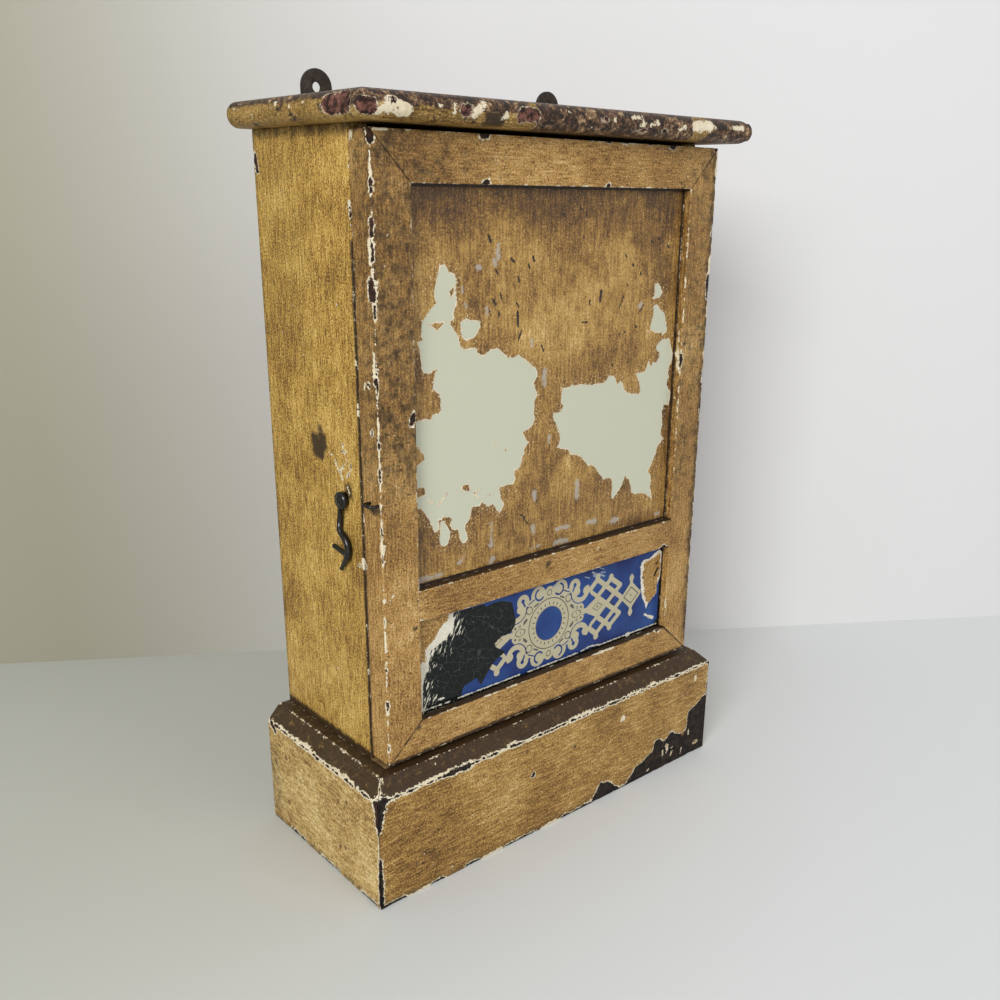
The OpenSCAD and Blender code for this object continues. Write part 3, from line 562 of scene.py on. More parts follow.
for side, word in ((-1, "left"), (1, "right")):
    side_section = [(side * x, z) for x, z in (
        (half_width, 0), (plinth_out, 0), (plinth_out, chamfer_foot),
        (plinth_out - chamfer_in, plinth_top), (half_width, plinth_top))]
    board = carried(side_section, 1, -90, back - 0.1)
    seam = (Vector((side * plinth_out, plinth_face, 0)), Vector((-side, -1, 0)).normalized())
    mitre(board, *seam)
    grid_up(board, 1, plinth_grid)
    x = side * plinth_out
    chips = marks(0, x, [
        (plinth_face, chamfer_foot, back, chamfer_foot, 0.5), (67, 79, 72, 83, 2.4),
        (plinth_face, 66, plinth_face, 88, 3.0), (plinth_face, 0, plinth_face, 38, 1.4),
        (-20, 0, 4, 0, 1.8), (30, 0, 48, 0, 2.2), (-66, 0, -50, 0, 2.2)])
    chips += [((x, plinth_face, chamfer_foot), (-side * corner_seam[0], *corner_seam[1:]), 0.6)]
    flares = marks(0, x, [
        (plinth_face, chamfer_foot, back, chamfer_foot, 1.6), (plinth_face, 0, plinth_face, 60, 1.6),
        (-50, 85, -20, 86, 2.0), (10, 86, 34, 86, 2.2), (50, 85, 60, 86, 1.8)])
    low, high = sorted((side * 152, side * (plinth_out - 0.4)))
    # The chamfer and the ledge are dark with dirt, and the board is darker along its foot, low at its back
    # and in a few spots
    dirt = stains(0, low, high, [(-74, chamfer_foot + 0.5, 78, 96, 1.6, 0.95)])
    dirt += stains(0, x, x, [
        (-75, 0, 78, 2, 9, 0.55), (66, 10, 77, 60, 12, 0.5), (-34, 66, -34, 66, 3.0, 1.0),
        (2, 52, 2, 52, 3.0, 1.0), (31, 52, 31, 52, 3.0, 1.0), (-30, 27, -30, 27, 3.0, 1.0)])
    painted_piece("plinth_board_" + word, board, "cabinet", ["plinth_" + word], end_ochre,
                  chips=chips, flares=flares, dirt=dirt, seams=[seam], wear=-0.4,
                  outlines=[(0, x, side_wedge)])

# Top board
# One thick board with a full round along its front and ends lies on the side boards, nailed down
# into them. Hands and dusters have rubbed its edge down to brown and black through ochre and cream.
top_end = 168.95
top_front = -76.95
top_back = 76.9
top_mid = 513
top_half = 7.95
corner_power = 7  # how nearly square the plan's corners are
board = bmesh.new()
bmesh.ops.create_cube(board, size=1.0)
bmesh.ops.scale(board, vec=(2 * top_end, top_back - top_front, 2 * top_half), verts=board.verts[:])
bmesh.ops.translate(board, vec=(0, (top_back + top_front) / 2, top_mid), verts=board.verts[:])
for axis, step in ((0, 2.2), (1, 2.2), (2, 1.6)):
    runs = [e for e in board.edges if abs((e.verts[1].co - e.verts[0].co)[axis]) > 0.999 * e.calc_length()]
    cuts = round(max(e.calc_length() for e in runs) / step) - 1
    bmesh.ops.subdivide_edges(board, edges=runs, cuts=cuts)
for vert in board.verts:
    x, y, z = vert.co
    over_x = max(abs(x) - (top_end - top_half), 0) / top_half
    over_y = max(top_front + top_half - y, 0) / top_half
    out = (over_x ** corner_power + over_y ** corner_power) ** (1 / corner_power)
    up = (z - top_mid) / top_half
    if out > 1e-6:
        share = max(out, abs(up)) / math.hypot(out, up)
        vert.co.z = top_mid + up * share * top_half
        if over_x:
            vert.co.x = math.copysign(top_end - top_half + over_x * share * top_half, x)
        if over_y:
            vert.co.y = top_front + top_half - over_y * share * top_half
GOLD = ((0.0, "#3f2b10"), (0.3, "#695024"), (0.5, "#8f6f37"), (0.72, "#ac8c4f"), (1.0, "#cfb67f"))
top_ochre = old_paint("rubbed_paint_on_top_board", 0, GOLD, dirt="#2c1f14", under=("#24120d", "#7a5145"),
                      rim=0.35, ragged=3.2, loss=0.69, patches=0.4)
chips = marks(1, top_front, [
    (-167, 511, -161, 511, 4.6), (-98, 513, -96, 513, 3.4), (-55, 512, -44, 513, 4.0),
    (44, 507, 56, 508, 1.8), (-112, 506, -108, 506, 0.9), (12, 512, 17, 514, 1.6), (72, 509, 76, 510, 1.4),
    (136, 509, 142, 508, 1.4), (-152, 514, -146, 515.5, 0.9), (-147, 510, -146, 511, 0.7),
    (-143, 508, -140, 507, 0.6), (-86, 514, -84, 515, 0.7), (110, 512, 112, 513, 0.5)])
chips += marks(0, -top_end, [(-62, 514, -44, 513, 6.2), (20, 515, 23, 516, 0.8)])
flares = marks(1, top_front, [
    (-157, 508, -153, 511, 3.0), (-149, 513, -139, 510, 4.6), (-130, 515, -129, 515, 1.3),
    (-132, 507, -131, 507, 1.2), (-116, 514, -115, 514, 1.3), (-106, 511, -104, 517, 1.8),
    (-91, 511, -82, 518, 2.3), (-94, 506, -78, 507, 0.6), (25, 514, 25, 515, 1.2), (42, 516, 52, 518, 1.6),
    (50, 512, 54, 514, 1.2), (60, 512, 66, 515, 1.6), (88, 511, 94, 513, 1.8), (106, 514, 122, 515, 3.8),
    (126, 514, 128, 514, 1.6), (148, 515, 158, 516, 1.6), (-20, 516, -12, 517, 1.0), (4, 507, 8, 508, 1.0),
    (-70, 509, -66, 512, 1.2)])
flares += marks(0, -top_end, [
    (-64, 507, -42, 506.5, 1.6), (-66, 509, -66, 512, 1.2), (-40, 509, -38, 509, 0.9),
    (-20, 516, -18, 516, 1.2), (-4, 514, -2, 514, 0.8), (14, 517, 16, 517, 1.3), (38, 515, 40, 515, 1.0),
    (56, 512, 58, 512, 0.7), (66, 516, 68, 516, 1.2)])
dirt = [((-170, -70, 520), (170, 78, 522), 6, 0.5), ((-170, -77, 519), (-166, 78, 522), 5, 0.9),
        ((-133, -78, 516), (-58, -70, 521), 3, 1.0), ((124, -78, 517), (162, -70, 521), 3, 1.0),
        ((158, -78, 505), (170, -60, 521), 5, 0.8), ((-82, -78, 506), (-68, -70, 512), 3, 0.9)]
worn = [((-36, -78, 505), (95, -66, 521), 10, 1.1), ((126, -78, 505), (172, -66, 521), 8, 0.9),
        ((-172, -78, 515), (-50, -66, 521), 4, 0.9), ((-170, -70, 518.5), (-164, 78, 521), 2.5, 0.9)]
painted_piece("top_board_worn", board, "cabinet", ["top_board"], top_ochre, chips=chips,
              flares=flares, dirt=dirt, worn=worn, rounding=0, wear=-9)

# Nails
# Cut nails hold the plinth, the top board and the back. Their small flat heads are set flush and
# were painted over, and rust has pushed the paint off most of them.


def rusty_steel(name, paint, rust):
    """A nail or screw head: thin old paint broken by brown rust about a millimetre across"""
    material, tree, place = new_material(name)
    mm = add(tree, "Mapping", {"Vector": place, "Scale": TO_MM})
    spots = add(tree, "TexNoise", {"Vector": mm, "Scale": 0.7, "Detail": 4, "Roughness": 0.6})
    share = add(tree, "MapRange", {0: spots, 1: 0.42, 2: 0.58}, **SMOOTH)
    colour = add(tree, "Mix", {0: share, 6: linear(rust), 7: linear(paint)}, 2, **COLOURS)
    rough = add(tree, "MapRange", {0: spots, 1: 0.3, 2: 0.7, 3: 0.75, 4: 0.45})
    bump = add(tree, "Bump", {"Height": spots, "Distance": 0.0003, "Strength": 0.7})
    surface = add(tree, "BsdfPrincipled", {"Base Color": colour, "Roughness": rough, "Normal": bump})
    add(tree, "OutputMaterial", {"Surface": surface})
    return material


painted_rust = rusty_steel("painted_over_rust", "#96723f", "#4a2f1b")
dress(painted_rust, "plinth_nails", "top_nails", "back_nails")

# Hanging plates
# Two strips of dark iron with a round ear are let into the back and screwed on. Their arrises
# are rubbed, and the iron is mottled brown and grey.


def copy_of(name, angle=0.02):
    """A clean bmesh in mm of a CAD node, with its flat faces in one piece"""
    bm = bmesh.new()
    bm.from_mesh(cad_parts[name].data)
    bmesh.ops.remove_doubles(bm, verts=bm.verts[:], dist=0.00002)
    bmesh.ops.dissolve_limit(bm, angle_limit=angle, verts=bm.verts[:], edges=bm.edges[:])
    bmesh.ops.scale(bm, vec=TO_MM, verts=bm.verts[:])
    return bm


def old_iron(name, dark, brown, pale, mottle=0.6, rough=0.5, metal=0.55, pitted=0.5):
    """Iron under old black and brown oxide: a dark skin with duller brown and grey mottles"""
    material, tree, place = new_material(name)
    mm = add(tree, "Mapping", {"Vector": place, "Scale": TO_MM})
    cloud = add(tree, "TexNoise", {"Vector": mm, "Scale": 0.16, "Detail": 5, "Roughness": 0.65})
    fleck = add(tree, "TexNoise", {"Vector": mm, "Scale": 0.55, "Detail": 4, "Roughness": 0.7})
    share = add(tree, "MapRange", {0: cloud, 1: 0.42, 2: 0.68, 3: 0, 4: mottle}, **SMOOTH)
    colour = add(tree, "Mix", {0: share, 6: linear(dark), 7: linear(brown)}, 2, **COLOURS)
    spark = add(tree, "MapRange", {0: fleck, 1: 0.58, 2: 0.72, 3: 0, 4: mottle}, **SMOOTH)
    colour = add(tree, "Mix", {0: spark, 6: colour, 7: linear(pale)}, 2, **COLOURS)
    gloss = add(tree, "MapRange", {0: fleck, 1: 0.3, 2: 0.7, 3: rough - 0.12, 4: rough + 0.15})
    bump = add(tree, "Bump", {"Height": fleck, "Distance": 0.0003, "Strength": pitted})
    surface = add(tree, "BsdfPrincipled", {
        "Base Color": colour, "Roughness": gloss, "Metallic": metal, "Normal": bump})
    add(tree, "OutputMaterial", {"Surface": surface})
    return material


plate_iron = old_iron("mottled_iron_strip", "#2a2420", "#4d3f33", "#83786a")
for word in ("left", "right"):
    plate = copy_of("hanging_plate_" + word)
    arrises = [e for e in plate.edges if len(e.link_faces) == 2 and e.calc_face_angle() > 0.6]
    bmesh.ops.bevel(plate, geom=arrises, offset=0.35, segments=2, profile=0.5, affect="EDGES",
                    material=-1, clamp_overlap=True)
    finish_piece("hanging_plate_rubbed_" + word, plate, "cabinet", ["hanging_plate_" + word],
                 plate_iron)
screw_steel = rusty_steel("browned_screw_steel", "#5d4c39", "#33251a")
dress(screw_steel, "plate_screws", "hinge_screws_frame", "hinge_screws_door", "backing_brads")

# Door frame
# Four members are mitred at the corners round two openings, and a fifth is tenoned between them.
# A rebate behind holds the panels. The frame is painted as the sides are, along each member.
door_face = -60
door_back = -39
lip_back = -53
light_half = 124.5
rebate_half = 130.5
door_low, door_high = 98.5, 502
lower_low, lower_high = 124.5, 197
upper_low, upper_high = 219.5, 473
rebate = 6
door_grid = 1.6
TAN = ((0.0, "#4f3516"), (0.3, "#7f5b2d"), (0.5, "#a88045"), (0.72, "#c09a5b"), (1.0, "#dfc693"))
stile_paint = old_paint("brushed_ochre_on_stiles", 2, TAN)
rail_paint = old_paint("brushed_ochre_on_rails", 0, TAN)
stile_wide = half_width - light_half
corners = {}
for side in (-1, 1):
    for up, outer, inner in ((1, door_high, upper_high), (-1, door_low, lower_low)):
        square = Vector((-side * abs(outer - inner), 0, up * stile_wide))
        corners[side, up] = Vector((side * half_width, 0, outer)), square
seams = [(at, square.normalized()) for at, square in corners.values()]
middle_ends = [(Vector((side * light_half, 0, 0)), Vector((1, 0, 0))) for side in (-1, 1)]
# The ledges at the foot of each opening are dark with dirt, and the undersides at the top of each opening
# carry painted shade
dirt = stains(1, -59.3, -52, [
    (-126, 196, 126, 197.2, 0.9, 1.2), (-126, 472.6, 126, 474, 0.9, 1.2), (-126, 218, 126, 219.9, 0.9, 1.2),
    (-126, 123, 126, 124.9, 0.9, 1.2)])
# Painted shade down the reveals at both ends of the openings
dirt += stains(1, -53.5, -52, [(124.1, 120, 126, 475, 0.9, 1.1), (-126, 120, -124.1, 475, 0.9, 1.1)])
# Painted shade: the left stile darker in its upper part, its top corner and beside the upper glass, the right
# stile darker in its upper part and towards its outer edge, the middle rail a little darker, and a dark line
# along the door's foot over the gap above the plinth
dirt += stains(1, -61, -59, [
    (-154, 488, -130, 503, 14, 0.35), (-130, 215, -124, 480, 8, 0.3), (-126, 196, 126, 220, 1, 0.2),
    (-154, 320, -124, 504, 130, 0.58), (124, 260, 154, 504, 150, 0.45), (151, 110, 154, 504, 12, 0.75),
    (-153, 98, 153, 99.4, 3.5, 1.1)])
dirt += stains(1, door_face, door_face, [
    (-9.5, 212, -9.5, 212, 5, 1.1), (121, 442, 121, 442, 3, 1.0), (128, 361, 128, 361, 3, 1.0),
    (-128, 120, -127, 120, 3, 0.9), (-128, 194, -128, 194, 3, 1.0), (145, 366, 146, 366, 3, 1.0)])
# Painted shade in the joint along the door's left back edge, and a stain round the staple
dirt += [((-153.5, -39.5, 98), (-152, -38, 430), 2.2, 1.1), ((-153, -58, 277), (-152, -48, 280), 4, 0.8)]


def outer_edge(x, rows):
    """Lines up an outer edge of the door: each row has how far behind its face, two heights and a radius"""
    return marks(0, x, [(door_face + behind, low, door_face + behind, high, radius)
                        for behind, low, high, radius in rows])


for side, word in ((-1, "left"), (1, "right")):
    section = [(side * x, y) for x, y in (
        (half_width, door_face), (light_half, door_face), (light_half, lip_back),
        (rebate_half, lip_back), (rebate_half, door_back), (half_width, door_back))]
    stile = carried(section, 2, 90, 510)
    for up in (1, -1):
        mitre(stile, *corners[side, up])
    grid_up(stile, 2, door_grid)
    x = side * half_width
    if side < 0:
        chips = outer_edge(x, [
            (0, 497, 502, 4.0), (0.5, 468, 473, 1.4), (0.5, 444, 453, 1.5), (0.6, 431, 440, 1.3),
            (2.5, 410, 418, 3.2), (0, 398, 404, 0.9), (0, 350, 371, 0.6), (1.5, 359, 361, 1.2),
            (0, 320, 326, 0.7), (0, 298, 306, 0.8), (0, 262, 268, 0.7), (0, 246, 250, 1.3),
            (0, 171, 176, 1.2), (0, 142, 146, 1.2), (0, 110, 115, 1.2), (9, 358, 357, 0.9),
            (13, 356, 357, 0.8), (7, 328, 328.5, 1.3), (21, 236, 239, 1.6)])
        chips += marks(1, door_face, [(-128, 331, -125.5, 338, 1.5), (-127, 120, -127, 120.5, 0.9)])
        flares = outer_edge(x, [
            (0, 99, 240, 0.25), (0, 240, 502, 0.7), (2.5, 429, 441, 2.2), (2.2, 364, 377, 1.8),
            (0, 251, 257, 1.8), (0, 219, 220, 1.7), (0, 184, 198, 1.5), (0, 138, 148, 1.5),
            (0, 476, 492, 1.0), (1, 404, 424, 1.6), (18, 496, 501, 0.9), (21, 105, 410, 0.1),
            (20, 268, 276, 0.8), (21, 336, 344, 0.8)])
        flares += marks(1, door_face, [(-148, 219, -147, 220, 0.7), (-146, 221, -144, 222, 0.5)])
    else:
        chips = outer_edge(x, [
            (0, 395, 409, 3.0), (0, 440, 446, 1.8), (0, 474, 480, 1.2), (0, 300, 306, 0.8),
            (0, 224, 228, 0.8), (0, 330, 336, 0.8)])
        chips += marks(0, light_half, [(door_face, 340, door_face, 352, 1.0)])
        flares = outer_edge(x, [
            (0, 99, 502, 0.4), (0, 474, 500, 1.4), (0, 408, 423, 3.0), (0, 380, 392, 1.4),
            (0, 345, 352, 1.0), (0, 262, 268, 1.0), (0, 180, 190, 0.9)])
        flares += marks(0, light_half, [(door_face + 3, 343, door_face + 4, 372, 0.9),
                                        (door_face + 2, 350, door_face + 5, 353, 1.4)])
    painted_piece("stile_" + word, stile, "door", ["door_stile_" + word], stile_paint,
                  chips=chips, flares=flares, dirt=dirt, seams=seams)

for word, up, outer, inner, chips, flares in (
        ("top", 1, door_high, upper_high,
         [(-70, 473, -67, 474, 2.4), (-71, 501, -69, 502, 3.0), (38, 473, 39, 474, 1.0),
          (100, 502, 103, 502, 2.4), (150, 501, 152, 502, 1.8), (20, 502, 80, 502, 0.2)],
         [(70, 473, 80, 473, 0.8), (-150, 501, -136, 501, 0.8), (34, 473, 42, 473, 0.7)]),
        ("bottom", -1, door_low, lower_low,
         [(115, 124.5, 118, 124.5, 1.0)],
         [(48, 124.5, 66, 124.5, 0.9), (-44, 124.5, -20, 124.5, 0.3), (-110, 124.5, -60, 124.5, 0.2)])):
    back_edge = inner + up * rebate
    section = [(door_face, inner), (door_face, outer), (door_back, outer), (door_back, back_edge),
               (lip_back, back_edge), (lip_back, inner)]
    rail = carried(section, 0, -half_width - 5, half_width + 5)
    for side in (-1, 1):
        at, square = corners[side, up]
        mitre(rail, at, -square)
    grid_up(rail, 0, door_grid)
    painted_piece("rail_" + word, rail, "door", ["door_%s_rail" % word], rail_paint,
                  chips=marks(1, door_face, chips), flares=marks(1, door_face, flares), dirt=dirt,
                  seams=seams)
section = [(door_face, lower_high), (door_face, upper_low), (lip_back, upper_low),
           (lip_back, upper_low - rebate), (door_back, upper_low - rebate),
           (door_back, lower_high + rebate), (lip_back, lower_high + rebate), (lip_back, lower_high)]
rail = carried(section, 0, -light_half, light_half)
grid_up(rail, 0, door_grid)
chips = marks(1, door_face, [
    (-124, lower_high, -122, lower_high, 1.2), (114, lower_high, 119, lower_high, 1.8)])
painted_piece("rail_middle", rail, "door", ["door_middle_rail"], rail_paint,
              chips=chips, dirt=dirt, seams=middle_ends)

# Upper glass
# A sheet of opal glass lies in the rebate behind the frame's lip. It was brushed over with the
# frame's paint, which has flaked off it in two large patches and in many small chips and slits.
edge_of_glass = 0.3


def pane(name, step):
    """The glass pane of a CAD node in mm, ground at its arrises, with its front cut into a grid"""
    low, high = (corner * 1000 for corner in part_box(name))
    bm = bmesh.new()
    bmesh.ops.create_cube(bm, size=1.0)
    bmesh.ops.scale(bm, vec=high - low, verts=bm.verts[:])
    bmesh.ops.translate(bm, vec=(high + low) / 2, verts=bm.verts[:])
    bmesh.ops.bevel(bm, geom=bm.edges[:], offset=edge_of_glass, segments=1, profile=0.5,
                    affect="EDGES", material=-1)
    for axis in (0, 2):
        front = []
        for edge in bm.edges:
            p, q = (v.co for v in edge.verts)
            along = abs((q - p)[axis]) > 0.999 * edge.calc_length()
            if along and abs(p.y - low.y) + abs(q.y - low.y) < 0.001:
                front.append(edge)
        cuts = round(max(e.calc_length() for e in front) / step) - 1
        bmesh.ops.subdivide_edges(bm, edges=front, cuts=cuts)
    places = np.array([v.co for v in bm.verts])
    return bm, places[:, (0, 2)], places[:, 1] > low.y + 0.01


def counted_from(x, z, points):
    """Points in mm that were counted from another place on the same flat face"""
    return [(x + a, z + b) for a, b in points]


def flat_lines(*groups):
    """Flat lines with a radius in mm: each group has the place that its rows are counted from"""
    return [((x + a, z + b), (x + c, z + d), radius) for x, z, rows in groups for a, b, c, d, radius in rows]


left_patch = counted_from(-126, 300, [
    (27, 125), (30, 126), (33, 121), (37, 120), (39, 117), (38, 113.5), (38.5, 104), (38, 101), (36, 97),
    (36.5, 93), (34, 91.5), (33, 89.5), (36, 87), (38.5, 83), (40.5, 80), (41, 76), (42, 74.5), (45, 72.5),
    (50, 72.5), (54, 73), (56, 70), (58, 68), (61, 67), (65, 69), (68, 71), (73, 71), (76, 69), (79, 66),
    (82, 64), (86, 64), (91, 65), (95, 63), (98, 60.5), (102, 58), (104, 56), (107, 54), (108, 51.5),
    (107, 48), (104.5, 46), (105, 43), (108, 38), (107, 34), (105.5, 31), (105.5, 25), (106.5, 19)])
left_patch += counted_from(-126, 217, [
    (104, 98.5), (100, 97), (97, 96), (95, 95), (97, 92), (97, 90.5), (99, 89.5), (101, 87), (98.5, 85),
    (96.5, 83), (97, 80), (94.5, 77), (94, 73), (93, 70), (90, 69.5), (88.5, 71), (88, 66), (89, 62.5),
    (87, 60), (77, 60), (75.5, 59.5), (74.5, 57), (75.5, 54), (76, 51), (77, 49), (78.5, 46), (77, 43.5),
    (75.5, 41.5), (73, 43.5), (71, 47), (69, 49), (67, 48), (64, 48.5), (62, 50), (60, 52), (57, 50),
    (52, 50), (50, 49), (49.5, 46), (49, 42), (47, 40), (44, 38), (44, 35), (45, 32), (47, 28), (44, 26),
    (42, 27), (41, 31), (40.5, 35), (39, 37), (36, 37), (34, 38), (33, 41), (34.5, 43), (34, 45.5),
    (30, 47), (27, 48.5), (25, 46), (22.5, 48), (22, 45), (22.5, 41), (21, 38), (19, 40), (18, 45),
    (17, 44), (16, 47), (15, 50), (13.5, 50.5), (12, 53), (9, 57), (-6, 60), (-6, 114), (7, 114),
    (12, 114)])
left_patch += counted_from(-126, 300, [
    (19.5, 30.5), (19, 33), (22, 34), (25.5, 33.5), (26.5, 37), (26, 42), (25.5, 47), (22, 49), (20.5, 51),
    (21, 54), (21.5, 58), (24, 62), (22.5, 63.5), (19.5, 62), (17, 60.5), (13, 62), (12, 64), (12, 68),
    (11, 72), (10.5, 77), (9.5, 80), (13, 80.5), (13.5, 82), (12, 85), (12, 90), (13, 93), (16, 95),
    (19, 99), (22, 101.5), (24, 103), (23, 107), (22.5, 111), (24, 116), (25, 120), (26.5, 123)])
right_patch = counted_from(0, 217, [
    (-2, 104), (4, 104.5), (8, 107), (8, 110), (6, 112), (6.5, 116), (7, 121), (14, 121), (16, 122.5),
    (20, 121.5), (30, 121.5), (35, 120.5), (48, 120.5), (51, 122.5), (54, 125.5), (58, 124), (60, 122),
    (61, 119), (63, 118), (66, 120), (68, 118), (69, 114), (73, 111), (77, 109), (80, 108.5), (83, 109),
    (87, 107.5), (88.5, 109.5), (88, 113), (87, 117), (85, 121), (83, 124), (87, 124), (92, 124.5),
    (94, 127), (96, 132), (98, 126), (101, 131), (104, 130), (106, 132), (108, 135), (107, 139), (104, 141),
    (105, 144), (107, 146), (110, 147.5), (117, 147), (119, 144), (120, 140), (122, 137), (122, 131),
    (119, 126), (118, 121), (119.5, 118), (117, 115), (117.5, 112), (119, 109), (122, 106), (122, 101),
    (121, 97), (118, 97.5), (115, 97), (115, 94), (113, 91), (114, 88), (114.5, 81), (113.5, 74), (115, 71),
    (117, 69.5), (112, 66), (110, 64.5), (109.5, 62), (109, 59), (107, 56), (105, 52), (103, 49),
    (100, 46.5), (103, 43), (104.5, 40), (105, 36), (104, 33), (105, 28), (107, 23), (104, 25), (100, 27.5),
    (96, 29), (92, 30), (88, 29.5), (86, 32), (84, 32), (83, 36), (81.5, 40), (80.5, 44), (78, 44),
    (76, 46), (74, 46), (73, 42), (71, 39), (68, 36), (66, 34), (64, 32), (62, 31), (62, 46), (59, 48),
    (55, 48.5), (52, 48), (50, 50), (47, 53), (44, 57), (41, 60), (38, 62), (35, 61.5), (33, 63), (30, 67),
    (26, 70), (22, 71.5), (17, 72.5), (14, 77), (8, 78), (4, 80), (5, 82), (6.5, 85), (6, 88), (4, 92),
    (2, 96), (0, 99)])
islands = [
    counted_from(-126, 217, [
        (25, 44), (24.5, 38), (24, 33), (24.5, 28.5), (27, 27), (30, 28), (31.5, 32), (32, 36), (29, 40),
        (27, 43.5)]),
    counted_from(-126, 300, [
        (42, 90), (47, 91.5), (52, 90.5), (58, 89.5), (58, 86.5), (55, 83), (52, 80), (46, 79.5), (44, 81),
        (43, 84), (43.5, 87)]),
    counted_from(-2, 340, [
        (100, 50), (103, 51), (106, 48), (110, 45), (113, 43), (114, 38), (116, 33), (115, 30), (112, 29),
        (108, 31), (104, 31), (101, 33), (98, 33), (99, 38), (100, 42), (101, 46)]),
    counted_from(-2, 340, [
        (101, 65), (103, 66), (106, 64), (108, 61), (107, 58), (104, 56), (99, 56), (101, 59)])]
left_behind = [
    counted_from(-126, 300, [
        (16, 91), (24, 92), (36, 92), (30, 90.5), (24, 86)]),
    counted_from(-126, 300, [
        (33, 109), (36, 113), (39, 112), (37, 108), (35, 104.5)]),
    counted_from(-126, 217, [
        (-2, 98.5), (8, 98.5), (13.5, 89), (8, 85.5), (-2, 85)]),
    counted_from(-126, 217, [
        (-2, 71), (12, 70.5), (13.5, 65), (8, 63.5), (-2, 63)]),
    counted_from(-126, 217, [
        (41.5, 65), (46, 67), (49.5, 66), (50, 61), (55, 60), (58, 62), (61, 61.5), (57, 59), (53, 59),
        (48, 61), (43, 62)])]
crumb_lines = flat_lines((-126, 217, [
    (14.5, 61, 18, 58, 0.9), (22.5, 56, 30, 62.5, 0.9), (53, 59, 57, 55, 0.9), (66, 55, 66.5, 55.5, 0.9),
    (71, 90, 73, 91, 0.9), (80, 85, 81, 84, 0.9)]))
slits = flat_lines(
    (-126, 300, [
        (103, 129, 104, 126, 1), (99, 124, 100, 122, 0.8), (84, 128, 87, 126, 0.9), (71, 122, 73, 119, 0.8),
        (90, 117, 91, 113, 0.8), (75, 107, 76, 103, 0.7), (69, 103, 71, 100, 0.8), (66, 96, 67, 93, 0.7),
        (74, 96, 74, 92, 0.7), (89, 100, 91, 97, 0.7), (90, 94, 90.5, 85, 1), (94, 82, 90.5, 75, 0.8),
        (112, 70, 114, 66, 0.8), (65, 143, 67, 139, 1)]),
    (-2, 340, [
        (44, 64, 43, 57, 1.2), (33, 58, 33, 55, 0.8), (62.5, 50, 67, 59, 0.7), (26, 43, 31, 43, 0.7),
        (27, 117, 26.5, 114, 0.9), (21, 120, 23, 118, 0.7), (5, 116, 7, 114, 0.8), (25, 102, 25, 100, 0.8),
        (70, 68, 71, 66, 0.8), (84, 76, 84, 73, 0.7), (78, 70, 80, 72, 0.7), (94, 97, 95, 96, 0.9),
        (101, 99, 103, 98, 0.8), (112, 93, 114, 92, 0.8), (117, 119, 117, 117, 0.8),
        (94, 115, 94, 113, 0.7), (84, 46, 89, 52, 0.6), (81, 37, 82, 36, 0.8), (69, 34, 70, 33, 0.8),
        (64, 33, 64, 31, 0.8), (58, 11, 59, 9, 0.7), (14, 18, 15, 17, 0.7), (75, 82, 76, 80, 0.7),
        (67, 88, 69, 86, 0.7)]),
    (-126, 217, [
        (95, 36, 102, 27, 0.5), (97, 37, 99, 31, 0.4), (101, 33, 96, 29, 0.4)]),
    (0, 217, [
        (98, 87.5, 98.5, 87, 1.2), (96.5, 34.5, 100, 34.5, 1.1), (90, 43, 91.5, 37, 0.7),
        (66, 44, 66, 45, 0.8), (116, 67, 116, 66, 0.8)]),
    # Painted shadow of the frame's lip: dark lines along the top, the right end and the foot of the pane,
    # drawn like slits
    (0, 217, [
        (-125, 255.4, 125, 255.4, 0.9), (123.9, 0, 123.9, 256, 0.9), (-125, 3, 125, 3, 1.3)]))
smudges = flat_lines(
    (-126, 300, [
        (73, 129, 73, 137, 2), (70, 125, 70, 127, 2), (56, 124, 58, 124, 2), (64, 94, 64, 98, 1.5),
        (103, 71, 103, 75, 1.5), (115, 43, 115, 53, 2), (44, 110, 44, 112, 1.5), (46, 99, 46, 101, 1.5)]),
    (-126, 217, [
        (121, 84, 121, 88, 2), (108, 44, 108, 50, 2), (107, 20, 107, 24, 2), (68, 18, 68, 34, 1.6),
        (68, 6, 69, 8, 2.4), (8, 7, 25, 7, 2.4), (40, 12, 44, 16, 1.6)]),
    (0, 217, [
        (4, 17.5, 16, 17.5, 2), (3, 7, 15, 7, 2), (36, 16, 44, 16, 2.3), (24, 39, 24, 51, 2.4),
        (114, 8, 117, 8, 2), (60, 12, 70, 12.6, 1.5), (-20, 8, -12, 9, 1.6)]),
    (-2, 340, [
        (85, 51, 86, 53, 2)]))

upper, flat, behind = pane("glass_upper", 1.25)
bare = np.minimum.reduce([gap_to_outline(flat, outline) for outline in (left_patch, right_patch, *islands)])
for outline in left_behind:
    bare = np.maximum(bare, -gap_to_outline(flat, outline))
bare = np.maximum(bare, -gap_to_lines(flat, crumb_lines))
# Where the paint is lighter or darker, as shares of the range from its dark to its pale colour: lighter in
# two soft patches high in the middle and at the left, darker towards the top and towards the right end
across, up = flat[:, 0], flat[:, 1]
faded = 0.17 * np.exp(-((across - 15) / 75) ** 2 - ((up - 392) / 26) ** 2)
faded += 0.12 * np.exp(-((across + 60) / 40) ** 2 - ((up - 440) / 20) ** 2)
faded -= 0.22 * np.clip((up - 430) / 30, 0, 1)
faded -= 0.1 * np.clip((across - 95) / 25, 0, 1)

opal, tree, place = new_material("opal_glass_under_flaking_paint")
